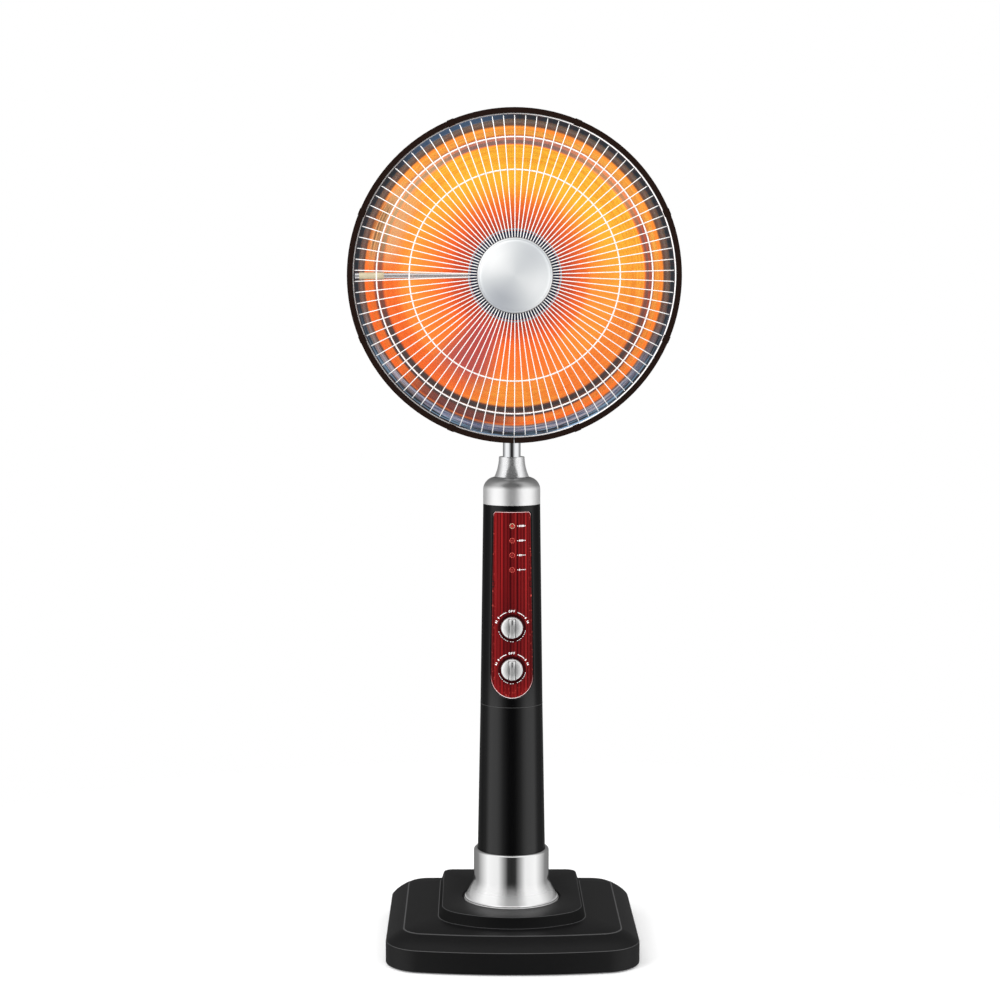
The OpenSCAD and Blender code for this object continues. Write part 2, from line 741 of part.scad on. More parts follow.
module dome_solid(shrink) {
  rise = dome_h - dome_skirt;
  inset = (housing_top_d - dome_top_d) / 2;
  arc = flare_r(inset, rise);
  translate([0, 0, housing_top_z]) intersection() {
    rotate_extrude() {
      square([housing_top_d / 2 - shrink, dome_skirt]);
      translate([0, dome_skirt - lap]) square([housing_top_d / 2 - arc, arc - shrink + lap]);
      translate([housing_top_d / 2 - arc, dome_skirt]) circle(r = arc - shrink);
    }
    cylinder(d = housing_top_d, h = dome_h - shrink);
  }
}

module dome_cap() color("#d0d2d5") at_column() difference() {
  union() {
    difference() {
      dome_solid(0);
      intersection() {
        dome_solid(2);
        translate([0, 0, housing_top_z - 1]) cylinder(d = housing_top_d, h = dome_h - 1);
      }
    }
    // skirt that drops into the housing, and the ledge that carries it
    translate([0, 0, housing_top_z - 8])
      ring(housing_top_d / 2 - column_wall - 2.2, housing_top_d / 2 - column_wall - 0.2, 9);
    translate([0, 0, housing_top_z])
      ring(housing_top_d / 2 - column_wall - 2.2, housing_top_d / 2 - 1, 2);
  }
  translate([0, 0, housing_top_z - 20]) cylinder(d = guide_d + 2 * seat_gap, h = dome_h + 21);
}

nut_thread_h = guide_top_z - nut_z;

module height_lock_nut() color("#cfd1d4") at_column() {
  flare_w = (dome_top_d - nut_top_d) / 2;
  arc = flare_r(flare_w, nut_h);
  difference() {
    translate([0, 0, nut_z]) cylinder(d = dome_top_d, h = nut_h);
    translate([0, 0, nut_z]) rotate_extrude() difference() {
      translate([nut_top_d / 2, 0]) square([flare_w + 1, nut_h + 1]);
      difference() {
        translate([0, -1]) square([dome_top_d / 2, nut_h + 1]);
        translate([nut_top_d / 2 + arc, nut_h]) circle(r = arc, $fn = 360);
      }
    }
    translate([0, 0, nut_z - 1]) cylinder(d = guide_d + 2 * run_gap, h = nut_thread_h + 1.2);
    translate([0, 0, guide_top_z]) cylinder(
      r1 = guide_d / 2 - 0.4, r2 = tube_d / 2 + 1.4, h = 7);
    translate([0, 0, guide_top_z]) cylinder(d = tube_d + 2 * seat_gap, h = 40);
  }
}

module tube_collet() color("#e6e2d6") at_column() difference() {
  union() {
    translate([0, 0, collet_z]) cylinder(r = guide_d / 2 - guide_wall - run_gap, h = collet_h);
    translate([0, 0, guide_top_z]) cylinder(
      r1 = guide_d / 2 - 1, r2 = tube_d / 2 + 1.1, h = 6);
  }
  translate([0, 0, collet_z - 1]) cylinder(r = tube_d / 2 + run_gap, h = 60);
  // slots that let the collet close on the tube
  for (a = [0, 120, 240]) rotate([0, 0, a]) translate([0, -0.6, collet_z + 10])
    cube([guide_d, 1.2, 40]);
}

module pole_tube() color("#dfe1e4") at_column() translate([0, 0, tube_foot_z])
  ring(tube_d / 2 - tube_wall, tube_d / 2, tube_len);

module pole_bush() color("#e6e2d6") at_column() translate([0, 0, tube_foot_z])
  ring(tube_d / 2 + run_gap / 2, guide_d / 2 - guide_wall - run_gap, bush_len);

// ---------- Swing drive ----------

crank_r = crank_offset * sin(swing_angle);
far_pin = crank_offset + crank_r;
near_pin = crank_offset * cos(swing_angle);
shaft_top_z = motor_z + motor_h + 5;
disc_z = motor_z + motor_h + 1;
disc_t = 4;
lever_nut_h = 2.4;
lever_z = disc_z + disc_t + lever_nut_h + 0.8;
lever_t = 3;
pin_top_z = lever_z + lever_t + 1.4;
bush_z = lever_z + lever_t + 2.3;
bracket_z = cover_top_z + 4;
box_post_r = 3.2;
box_screw_r = 1.4;
box_screw_seat = 2;
box_screw_bite = 4;
box_post_a = [30, 150, 270];
box_post_c = box_d / 2 - box_wall - box_post_r + 0.8;
box_posts = [for (a = box_post_a) [box_post_c * cos(a), box_post_c * sin(a), 0]];

module swing_box_cup() color("#17171a") at_column() difference() {
  union() {
    difference() {
      translate([0, 0, cup_z]) cylinder(d = box_d, h = cup_h);
      translate([0, 0, cup_z + 3]) cylinder(d = box_d - 2 * box_wall, h = cup_h);
    }
    translate([0, 0, cup_z - 15]) cylinder(d = tube_d + 8, h = 15 + motor_z - cup_z);
    at_each(box_posts) translate([0, 0, cup_z + 1]) cylinder(r = box_post_r, h = cup_h - 1);
  }
  translate([0, 0, cup_z - 16]) cylinder(d = tube_d + 2 * run_gap, h = tube_top_z - cup_z + 16);
  translate([0, 0, cup_z - 16]) cylinder(d = tube_d - 6, h = 40);
  at_each(box_posts) {
    translate([0, 0, cup_z - 1]) cylinder(r = box_screw_r + screw_play, h = cup_h + 2);
    translate([0, 0, cup_z - 1]) cylinder(r = head_r(box_screw_r) + 0.2, h = box_screw_seat + 1);
  }
}

module swing_box_cover() color("#17171a") at_column() {
  edge = 12;
  difference() {
    union() {
      difference() {
        translate([0, 0, cup_top_z]) rotate_extrude() {
          square([box_d / 2, cover_h - edge]);
          translate([0, cover_h - edge - lap]) square([box_d / 2 - edge, edge + lap]);
          translate([box_d / 2 - edge, cover_h - edge]) circle(r = edge);
        }
        translate([0, 0, cup_top_z - 1]) rotate_extrude() {
          square([box_d / 2 - box_wall, cover_h - edge + 1]);
          translate([0, cover_h - edge]) square([box_d / 2 - edge, edge + 1 - box_wall]);
          translate([box_d / 2 - edge, cover_h - edge + 1]) circle(r = edge - box_wall);
        }
      }
      at_each(box_posts) translate([0, 0, cup_top_z])
        cylinder(r = box_post_r, h = lever_z - cup_top_z - 1.4);
      translate([0, 0, bush_z]) cylinder(r = swivel_d / 2 + 5.5, h = cover_top_z - bush_z - 1);
    }
    translate([0, 0, cup_top_z]) cylinder(r = swivel_d / 2 + 3 + run_gap, h = cover_h + 1);
    at_each(box_posts) translate([0, 0, cup_top_z - 1])
      cylinder(r = box_screw_r + run_gap, h = box_screw_bite + 3);
  }
}

module swing_box_screws() color("#a9acb0") at_column() at_each(box_posts)
  translate([0, 0, cup_z + box_screw_seat]) screw(box_screw_r, cup_h - box_screw_seat + box_screw_bite);

module swing_motor() color("#8f9398") at_column() difference() {
  union() {
    translate([0, 0, motor_z]) cylinder(d = motor_d, h = motor_h);
    translate([0, crank_offset, motor_z + motor_h - lap]) cylinder(r = 4, h = 0.7);
  }
  translate([0, crank_offset, motor_z + 6]) cylinder(r = 2.5 + run_gap, h = motor_h);
  translate([0, 0, motor_z - 1]) cylinder(r = 6, h = 4);
}

module motor_shaft() color("#c8cbcf") at_column() translate([0, crank_offset, motor_z + 7])
  cylinder(r = 2.5, h = shaft_top_z - motor_z - 7.5);

module crank_disc() color("#d8d4c4") at_column() translate([0, crank_offset, disc_z]) {
  ring(2.5 + run_gap / 2, crank_r + pin_d / 2 + 1.4, disc_t);
  translate([0, crank_r, disc_t - lap]) cylinder(d = pin_d, h = pin_top_z - disc_z - disc_t + lap);
}

module swing_lever() color("#9a9da1") at_column() translate([0, 0, lever_z]) {
  slot_r = pin_d / 2 + slot_gap;
  slot_from = near_pin + 0.4;
  slot_to = far_pin - 0.4;
  lever_r = slot_r + 3;
  difference() {
    union() {
      cylinder(r = swivel_d / 2 + 3, h = lever_t);
      translate([-lever_r, 0, 0]) cube([2 * lever_r, slot_to, lever_t]);
      intersection() {
        translate([0, slot_to, 0]) cylinder(r = lever_r, h = lever_t);
        cylinder(r = box_d / 2 - box_wall - 1.6, h = lever_t);
      }
    }
    translate([0, 0, -1]) cylinder(d = swivel_d + run_gap, h = lever_t + 2);
    translate([0, 0, -1]) {
      translate([0, slot_from, 0]) cylinder(r = slot_r, h = lever_t + 2);
      translate([0, slot_to, 0]) cylinder(r = slot_r, h = lever_t + 2);
      translate([-slot_r, slot_from, 0]) cube([2 * slot_r, slot_to - slot_from, lever_t + 2]);
    }
  }
}

module lever_nut() color("#a9acb0") at_column() translate([0, 0, lever_z - lever_nut_h])
  ring(swivel_d / 2 + run_gap / 2, swivel_d / 2 + 2, lever_nut_h);

module swivel_bush() color("#e6e2d6") at_column() difference() {
  union() {
    translate([0, 0, bush_z]) cylinder(r = swivel_d / 2 + 3, h = cover_top_z - bush_z);
    translate([0, 0, cover_top_z]) cylinder(r = swivel_d / 2 + 7, h = bracket_z - seat_gap - cover_top_z);
  }
  translate([0, 0, bush_z - 1]) cylinder(r = swivel_d / 2 + run_gap, h = 60);
}

// ---------- Swivel bracket and tilt joint ----------

ear_in = tongue_w / 2 + 0.8;
bracket_t = 4;
washer_r = 8;
nut_t = 5;

module ear_pair() for (s = [-1, 1])
  translate([s * (ear_in + ear_t / 2), 0, 0]) rotate([0, 90, 0]) {
    cylinder(r = ear_r, h = ear_t, center = true);
    translate([0, -ear_r, -ear_t / 2]) cube([head_z - bracket_z, 2 * ear_r, ear_t]);
  }

module swivel_bracket() color("#1d1d20") at_column() {
  difference() {
    union() {
      translate([0, 0, head_z]) ear_pair();
      translate([-ear_in - ear_t, -ear_r, bracket_z])
        cube([2 * (ear_in + ear_t), 2 * ear_r, bracket_t]);
      // hollow shaft and the shoulder that clamps the lever
      translate([0, 0, lever_z - lever_nut_h - 0.2])
        cylinder(d = swivel_d, h = bracket_z - lever_z + lever_nut_h + 0.6);
      translate([0, 0, lever_z + lever_t]) cylinder(r = swivel_d / 2 + 2.4, h = 2);
    }
    translate([0, 0, lever_z - 10]) cylinder(d = swivel_d - 5, h = 60);
    translate([-tongue_w, 0, head_z]) rotate([0, 90, 0])
      cylinder(d = tilt_bolt_d + 2 * run_gap, h = 2 * tongue_w);
  }
}

module tilt_washers() color("#c3c6ca") at_column() for (s = [-1, 1])
  translate([s * (ear_in - 0.35), 0, head_z]) rotate([0, 90, 0])
    difference() {
      cylinder(r = washer_r, h = 0.5, center = true);
      cylinder(d = tilt_bolt_d + 0.6, h = 3, center = true);
    }

module tilt_bolt() color("#b9bcc0") at_column() translate([-ear_in - ear_t, 0, head_z])
  rotate([0, 90, 0]) screw(tilt_bolt_d / 2, 2 * (ear_in + ear_t) + nut_t + 1);

module tilt_nut() color("#b9bcc0") at_column() translate([ear_in + ear_t + run_gap, 0, head_z])
  rotate([0, 90, 0]) difference() {
    cylinder(r = 0.97 * tilt_bolt_d, h = nut_t, $fn = 6);
    translate([0, 0, -1]) cylinder(d = tilt_bolt_d + run_gap, h = nut_t + 2);
  }

// ---------- Head: mount and shells ----------

mount_back_u = 20;
mount_r = 38;
mount_draft = 12;
mount_wall = 3;
mount_boss_r = 4.4;
mount_screw_r = 1.5;
mount_screw_len = 14;
mount_front_u = dish_u(mount_r - mount_wall) - shell_gap - dish_t - 0.1;
mount_post_r = 28;
mount_posts = [for (a = [45:90:315]) [mount_post_r * cos(a), mount_post_r * sin(a), 0]];

module head_mount() color("#17171a") at_head() difference() {
  union() {
    difference() {
      translate([0, 0, mount_back_u]) cylinder(
        r1 = mount_r - mount_draft, r2 = mount_r, h = mount_front_u - mount_back_u);
      translate([0, 0, mount_back_u + mount_wall]) cylinder(
        r1 = mount_r - mount_draft - mount_wall, r2 = mount_r - mount_wall,
        h = mount_front_u - mount_back_u - mount_wall + lap);
    }
    intersection() {
      at_each(mount_posts) translate([0, 0, mount_back_u])
        cylinder(r = mount_boss_r, h = mount_front_u - mount_back_u - 1.6);
      translate([0, 0, mount_back_u]) cylinder(
        r1 = mount_r - mount_draft, r2 = mount_r, h = mount_front_u - mount_back_u);
    }
    // tongue that turns on the tilt bolt
    translate([-tongue_w / 2, 0, 0]) rotate([0, 90, 0]) cylinder(r = ear_r, h = tongue_w);
    translate([-tongue_w / 2, -ear_r, 0]) cube([tongue_w, 2 * ear_r, mount_back_u + 1]);
  }
  translate([-tongue_w, 0, 0]) rotate([0, 90, 0]) cylinder(d = tilt_bolt_d + 2 * run_gap, h = 2 * tongue_w);
  at_each(mount_posts) translate([0, 0, mount_back_u + 8])
    cylinder(r = mount_screw_r + run_gap, h = mount_front_u - mount_back_u);
  // way in for the leads, from below
  translate([0, -mount_r, mount_back_u + 14]) rotate([-90, 0, 0]) cylinder(r = 3.5, h = mount_r - 10);
}

module mount_screws() color("#a9acb0") at_head() for (p = mount_posts)
  translate([p[0], p[1], dish_u(mount_post_r) - shell_gap + 0.7]) mirror([0, 0, 1])
    screw(mount_screw_r, mount_screw_len);

// Points of the paraboloid from r_in to r_out, drawn back by back
function bowl_points(r_in, r_out, steps, back) =
  [for (i = [0:steps]) let (r = r_in + (r_out - r_in) * i / steps) [r, dish_u(r) - back]];
function reversed(points) = [for (i = [len(points) - 1:-1:0]) points[i]];

// Sheet of constant thickness drawn back along the axis
module sheet_of_revolution(points, t)
  rotate_extrude($fn = 180) polygon(concat(points, reversed([for (p = points) [p[0], p[1] - t]])));

dish_hole_r = 16;
bead_h = 2.2;
shell_edge_r = edge_r + 2.5;
vent_from_r = 62;
vent_len = 24;
vent_w = 4;

function reflector_profile() = concat(
  bowl_points(dish_hole_r, bowl_r, 12, 0),
  [
    [bowl_r + 1.5, dish_u(bowl_r) + bead_h],
    [bead_r - 2.5, dish_u(bowl_r) + bead_h + 1],
    [bead_r, dish_u(bead_r) + 0.5],
    [band_r, dish_u(band_r)],
    [edge_r - 1.5, flange_u - 4],
    [edge_r, flange_u + dish_t],
    [dish_r, flange_u + dish_t],
  ]);

function shell_profile() = concat(
  bowl_points(14, band_r - 5, 9, shell_gap),
  [
    [shell_edge_r - 1, flange_u - 5],
    [shell_edge_r, flange_u],
    [dish_r, flange_u],
  ]);

module reflector() color("#e8c9a0") at_head() sheet_of_revolution(reflector_profile(), dish_t);

module rear_shell() color("#161618") at_head() difference() {
  sheet_of_revolution(shell_profile(), dish_t);
  for (i = [0:vents - 1]) rotate([0, 0, (i + 0.5) * 360 / vents])
    translate([vent_from_r, -vent_w / 2, dish_u(vent_from_r) - 2 * shell_gap])
      cube([vent_len, vent_w, dish_u(vent_from_r + vent_len) - dish_u(vent_from_r) + 2 * shell_gap]);
  at_each(mount_posts) translate([0, 0, dish_u(mount_post_r) - 2 * shell_gap])
    cylinder(r = mount_screw_r + 0.4, h = 2 * shell_gap);
}

cutout_at_r = 62;
cutout_h = 4.6;

// Lies flat against the back of the dish
module thermal_cutout() color("#b8b2a2") at_head()
  translate([0, cutout_at_r, dish_u(cutout_at_r) - dish_t - run_gap])
    rotate([atan(cutout_at_r / (2 * dish_focus)), 0, 0]) translate([0, 0, -cutout_h]) {
      cylinder(r = 8, h = cutout_h);
      translate([-11, -4, 1]) cube([22, 8, 0.8]);
    }

// ---------- Heating element ----------

core_from = dish_vertex + 25;
core_to = dome_u - 21;
socket_r = dish_hole_r - 0.4;
socket_flange_r = dish_hole_r + 4;
coil_from = core_from + 6;
coil_to = core_to - 6;
coil_sides = 6;
coil_steps = 8;
// the chords between the coil's rings clear the core
coil_centre_r = (core_r + coil_wire / 2 + 0.15) / cos(180 / coil_steps);
coil_pitch = (coil_to - coil_from) / coil_turns;
hub_plate_u = dome_u - 6;
hub_plate_t = 1.2;
conduit_u = hub_plate_u - conduit_d / 2 - 5;
conduit_rim_u = flange_u + dish_t + conduit_d / 2 + run_gap;
conduit_rim_r = edge_r + 3;
conduit_hub_r = 9;
sleeve_in = 5;
sleeve_len = 29;
sleeve_t = 0.5;

module element_socket() color("#e9e4d8") at_head() difference() {
  union() {
    translate([0, 0, dish_vertex - shell_gap + 2]) cylinder(r = socket_r, h = shell_gap + 8);
    translate([0, 0, dish_u(socket_flange_r) + 2 * run_gap])
      cylinder(r1 = socket_flange_r, r2 = dish_hole_r + 1, h = 8);
    translate([0, 0, dish_vertex + 8])
      cylinder(r1 = dish_hole_r - 1, r2 = core_r + 3, h = core_from - dish_vertex - 4);
  }
  translate([0, 0, core_from - 8]) cylinder(r = core_r + run_gap, h = 30);
}

module element_core() color("#f0ece0") at_head() translate([0, 0, core_from - 8])
  cylinder(r = core_r, h = core_to - core_from + 16);

// Centre line of the coil: turns counted in t
function coil_point(t) = [
  coil_centre_r * cos(360 * t), coil_centre_r * sin(360 * t), coil_from + coil_pitch * t];
function coil_ring(t) = let (
    p = coil_point(t),
    out = [cos(360 * t), sin(360 * t), 0],
    slope = atan(coil_pitch / (2 * PI * coil_centre_r)),
    side = [-sin(slope) * sin(360 * t), sin(slope) * cos(360 * t), -cos(slope)])
  [for (k = [0:coil_sides - 1])
    p + coil_wire / 2 * (cos(k * 360 / coil_sides) * out + sin(k * 360 / coil_sides) * side)];

coil_path = [for (i = [0:coil_turns * coil_steps]) coil_point(i / coil_steps)];
coil_gap = min([for (i = [0:len(coil_path) - 1 - coil_steps], k = [-1:1])
  norm(coil_path[i] - coil_path[min(i + coil_steps + k, len(coil_path) - 1)])]) - coil_wire;
echo(str("least gap between the coil's turns: ", coil_gap, " mm"));

module element_coil() color("#ff8a3c") at_head()
  loft([for (i = [0:coil_turns * coil_steps]) coil_ring(i / coil_steps)]);

module front_socket() color("#e9e4d8") at_head() difference() {
  translate([0, 0, core_to]) cylinder(r = 15, h = hub_plate_u - core_to);
  translate([0, 0, core_to - 1]) cylinder(r = core_r + run_gap, h = 9.2);
  translate([-conduit_hub_r, 0, conduit_u]) rotate([0, conduit_a(), 0]) translate([0, 0, -30])
    cylinder(d = conduit_d + 2 * run_gap, h = 30);
}

// Slope of the conduit tube from the hub down to the rim
function conduit_a() = 90 - atan((conduit_u - conduit_rim_u) / (conduit_rim_r - conduit_hub_r));
function conduit_len() = norm([conduit_rim_r - conduit_hub_r, conduit_u - conduit_rim_u]);

// Along the conduit from its outer end towards the hub
module at_conduit() at_head() translate([-conduit_hub_r, 0, conduit_u]) rotate([0, conduit_a(), 0])
  translate([0, 0, -conduit_len()]) children();

module conduit_tube() color("#d9dbde") at_conduit()
  ring(conduit_d / 2 - 1, conduit_d / 2, conduit_len());

// Heat-proof sleeve over the conduit's outer end, clear of the dish's edge
module conduit_sleeve() color("#ddd3b4") at_conduit() translate([0, 0, sleeve_in])
  ring(conduit_d / 2 + run_gap, conduit_d / 2 + run_gap + sleeve_t, sleeve_len);

// ---------- Guard ----------

spoke_in_r = 33;
weld = 0.15;
spoke_end_r = bend_start_r + bend_r * (sin(bend_to_a) - sin(bend_from_a));
rim_ring_r = spoke_end_r + (spoke_d + ring_d) / 2 - weld;
ring_drop = (spoke_d + ring_d) / 2 - weld;

module wire_arc(radius, angle, wire) rotate([90, 0, 0]) rotate([0, 0, 90])
  rotate_extrude(angle = angle) translate([radius, 0]) circle(d = wire, $fn = 24);

// One radial wire: a flat dome arc towards the hub and a tight bend back to the rim.
// Both arcs start where they meet, so that their ends are the same circle.
module spoke() translate([bend_start_r, 0, guard_u(bend_start_r)]) rotate([0, bend_from_a, 0]) {
  translate([0, 0, -dome_r])
    wire_arc(dome_r, bend_from_a - asin(spoke_in_r / dome_r), spoke_d);
  mirror([1, 0, 0]) translate([0, 0, -bend_r])
    wire_arc(bend_r, bend_to_a - bend_from_a, spoke_d);
}

module guard_spokes() color("#eceef0") at_head()
  for (i = [0:spokes - 1]) rotate([0, 0, (i + 0.5) * 360 / spokes]) spoke();

module wire_ring(r, u) translate([0, 0, u]) rotate_extrude($fn = 180)
  translate([r, 0]) circle(d = ring_d, $fn = 24);

module guard_rings() color("#eceef0") at_head() {
  for (r = [spoke_in_r + 1.5, hub_ring_r, inner_ring_r, outer_ring_r])
    wire_ring(r, guard_u(r) - ring_drop);
  wire_ring(rim_ring_r, spoke_end_u);
}

module hub_plate() color("#20242c") at_head() translate([0, 0, hub_plate_u])
  ring(8.3, hub_ring_r - ring_d / 2 - 0.3, hub_plate_t);

module hub_cap() color("#d9dce0") at_head() {
  cap_r = hub_cap_d / 2;
  cap_edge_u = guard_u(cap_r) + spoke_d / 2 + 0.25;
  crown_r = (cap_r * cap_r + hub_cap_crown * hub_cap_crown) / (2 * hub_cap_crown);
  cap_t = 1.2;
  intersection() {
    translate([0, 0, cap_edge_u + hub_cap_crown - crown_r]) rotate_extrude($fn = 180) difference() {
      intersection() {
        circle(r = crown_r + cap_t, $fn = 720);
        square([cap_r + 1, crown_r + cap_t + 1]);
      }
      circle(r = crown_r, $fn = 720);
    }
    translate([0, 0, cap_edge_u - 1]) cylinder(r = cap_r, h = 20);
  }
  // stem that plugs through the hub plate onto the front socket
  translate([0, 0, hub_plate_u + run_gap])
    cylinder(r = 8, h = cap_edge_u + hub_cap_crown + cap_t / 2 - hub_plate_u - run_gap);
}

// ---------- Rim ----------

rim_back_u = flange_u - dish_t - rim_t - run_gap;
rim_front_u = spoke_end_u + ring_d / 2 + run_gap;
rim_split = 1;
rim_ear_t = 2.5;
rim_ear_h = 9;
rim_screw_r = 1.5;
rim_screw_in = 5;
clip_w = 8;
clip_t = 0.5;

module rim_band() color("#1f120c") at_head() difference() {
  union() {
    rotate_extrude($fn = 180) {
      translate([rim_r - rim_t, rim_back_u]) square([rim_t, rim_front_u + rim_t - rim_back_u]);
      translate([rim_r - rim_lip, rim_front_u]) square([rim_lip - lap, rim_t]);
      translate([shell_edge_r + 3, rim_back_u]) square([rim_r - shell_edge_r - 3 - lap, rim_t]);
    }
    // ears of the closing screw, behind the band
    for (s = [-1, 1])
      translate([s * (rim_split + rim_ear_t) / 2 - rim_ear_t / 2, 1 - rim_r, rim_back_u - rim_ear_h])
        cube([rim_ear_t, rim_ear_h - 1, rim_ear_h + rim_t / 2]);
  }
  translate([-rim_split / 2, -rim_r - 1, rim_back_u - rim_ear_h - 1])
    cube([rim_split, rim_ear_h + 2, rim_front_u + rim_t - rim_back_u + rim_ear_h + 2]);
  translate([-rim_ear_h, rim_screw_in - rim_r, rim_back_u - rim_screw_in]) rotate([0, 90, 0])
    cylinder(r = rim_screw_r + 0.1, h = 2 * rim_ear_h);
}

module rim_screw() color("#a9acb0") at_head()
  translate([-rim_split / 2 - rim_ear_t - run_gap, rim_screw_in - rim_r, rim_back_u - rim_screw_in])
    rotate([0, 90, 0]) screw(rim_screw_r, 2 * rim_ear_t + rim_split + 4);

module rim_clips() color("#26150e") at_head() for (i = [0:clips - 1])
  rotate([0, 0, (i + 0.5) * 360 / clips]) difference() {
    translate([rim_r - rim_lip - 1, -clip_w / 2, rim_back_u - 1])
      cube([rim_lip + 1 + clip_t, clip_w, rim_front_u + rim_t - rim_back_u + 1 + clip_t]);
    translate([0, 0, rim_back_u - run_gap])
      cylinder(r = rim_r + run_gap, h = rim_front_u + rim_t - rim_back_u + 2 * run_gap, $fn = 720);
  }

base_shell();
base_plate();
ballast_block();
rubber_feet();
base_screws();
cord_grommet();
tip_switch_body();
tip_plunger();
base_collar();
lower_column();
guide_tube();
tube_flange();
housing_front();
housing_rear();
housing_screws();
control_panel();
indicator_lamps();
lamp_board();
heat_switch();
swing_switch();
dome_cap();
tube_collet();
height_lock_nut();
heat_knob();
heat_shaft();
swing_knob();
swing_shaft();
pole_tube();
pole_bush();
swing_box_cup();
swing_box_cover();
swing_box_screws();
swing_motor();
swivel_bush();
motor_shaft();
crank_disc();
swivel_bracket();
swing_lever();
lever_nut();
tilt_bolt();
tilt_nut();
tilt_washers();
head_mount();
mount_screws();
rear_shell();
reflector();
thermal_cutout();
element_socket();
element_core();
element_coil();
front_socket();
conduit_tube();
conduit_sleeve();
guard_spokes();
guard_rings();
hub_plate();
hub_cap();
rim_band();
rim_screw();
rim_clips();
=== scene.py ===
import json
from math import asin, copysign, cos, degrees, hypot, pi, radians, sin, sqrt, tan

import bmesh
import bpy
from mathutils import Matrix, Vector


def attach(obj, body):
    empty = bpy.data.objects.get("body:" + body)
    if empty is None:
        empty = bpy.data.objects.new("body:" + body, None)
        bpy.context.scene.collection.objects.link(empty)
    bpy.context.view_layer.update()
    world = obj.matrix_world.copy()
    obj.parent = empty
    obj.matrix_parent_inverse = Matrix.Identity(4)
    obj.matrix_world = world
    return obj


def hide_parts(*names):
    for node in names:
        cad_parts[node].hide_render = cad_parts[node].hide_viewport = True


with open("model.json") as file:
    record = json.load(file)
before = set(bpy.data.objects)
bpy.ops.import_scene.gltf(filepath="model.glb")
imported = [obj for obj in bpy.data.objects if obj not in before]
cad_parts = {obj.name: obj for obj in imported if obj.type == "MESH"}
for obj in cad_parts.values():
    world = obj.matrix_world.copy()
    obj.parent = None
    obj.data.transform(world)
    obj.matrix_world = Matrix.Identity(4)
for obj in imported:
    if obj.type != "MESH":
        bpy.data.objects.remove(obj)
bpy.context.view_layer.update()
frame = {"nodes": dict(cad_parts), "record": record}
nodes = frame["nodes"]

# ---------------------------------------------------------------- sizes
# In millimetres, with the frame's origin and axes. On the head, u is the distance in front of the tilt axis.
MM = 0.001
COLUMN_Y = 26  # the column's axis
HEAD_Z = 829  # the tilt axis and the head's axis

# Outlines seen from above: width, reach in front of the column's axis and behind it, radius of the
# front and of the back corners, radius of the bowed front edge
BASE_PLAN = (308, 154, 154, 48, 48, 650)
TIER_PLAN = (172, 99, 126, 42, 12, 120)
BASE_RIM_Z, BASE_TOP_Z, TIER_TOP_Z = 1, 42, 55
RECESS_R, RECESS_Z = 62, 51.5

COLLAR_R, COLLAR_FOOT_R, COLLAR_WALL = 47, 59.5, 2.2
COLLAR_TOP_Z, COLLAR_LIP_R = 117, 3.5
FLARE_R, FLARE_TOP_Z = 32.26, 80
SEAM_R, SEAM_Z = 38.8, 300  # where the column meets the control housing
HOUSING_TOP_R, HOUSING_TOP_Z = 35.5, 549.4
CAP_SKIRT_Z, CAP_TOP_Z, CAP_SHOULDER_R = 567, 582.7, 15.8
NUT_Z, NUT_TOP_Z, NUT_TOP_R, NUT_HOLLOW_R = 583, 608, 15.95, 59.1
TUBE_R, TUBE_WALL, TUBE_FOOT_Z, TUBE_TOP_Z = 11, 1.2, 380, 730

PANEL_FOOT_Z, PANEL_TOP_Z = 312, 542
PANEL_W, PANEL_TOP_W = 52, 45.5  # at its rounded foot and at its top
PANEL_PROUD, WELL_DEPTH = 0.8, 4.5
RIB_PITCH = 4.2
KNOBS = {"heat_knob": 399, "swing_knob": 347}  # height of each knob's axis
KNOB_R = 13.5
LAMPS = (471, 489, 507, 525)

DISH_VERTEX, DISH_FOCUS, BOWL_R, DISH_R, DISH_SHEET = 70, 105, 154, 190, 0.8
DOME_R, DOME_TOP_U = 620, 204.99  # the guard's gentle dome
BEND_R, BEND_START_R, BEND_END = 18, 172, 86  # the wires' bend back to the rim, up to that slope in degrees
SPOKES, SPOKE_R, RING_R = 90, 0.54, 0.85
CAD_SPOKE_R, CAD_RING_R, WELD = 0.95, 1.3, 0.15  # the solids' thicker wires, which share these centre lines
RING_DROP = CAD_SPOKE_R + CAD_RING_R - WELD
HUB_CAP_R, HUB_CAP_CROWN, HUB_CAP_SEAT, CROWN_R = 43.5, 4, 0.25, 238.5
COIL_R, COIL_WIRE_R, COIL_START_U, COIL_LENGTH, COIL_TURNS = 9.52, 0.8, 101, 77, 22
LEAD_R = 3.5
LEAD_START, LEAD_END = (-9, 190.49), (-184, 166.36)  # x and u of the lead tube's ends


def column_point(x, y, z):
    """Point beside the column's axis, y towards the back."""
    return Vector((x, COLUMN_Y + y, z)) * MM


def head_point(x, y, u):
    """Point of the head: x to the right, y up and u forward from the tilt axis."""
    return Vector((x, COLUMN_Y - u, HEAD_Z + y)) * MM


def housing_radius(z):
    return SEAM_R + (HOUSING_TOP_R - SEAM_R) * (z - SEAM_Z) / (HOUSING_TOP_Z - SEAM_Z)


def panel_point(x, z, lift=0.0):
    """Point on the panel's face, lifted off it."""
    r = housing_radius(z) + PANEL_PROUD + lift
    return column_point(x, -sqrt(r * r - x * x), z)


def dish_u(r):
    """Depth of the paraboloid."""
    return DISH_VERTEX + r * r / (4 * DISH_FOCUS)


def guard_u(r):
    """Depth of the guard's dome."""
    return DOME_TOP_U - DOME_R + sqrt(DOME_R * DOME_R - r * r)


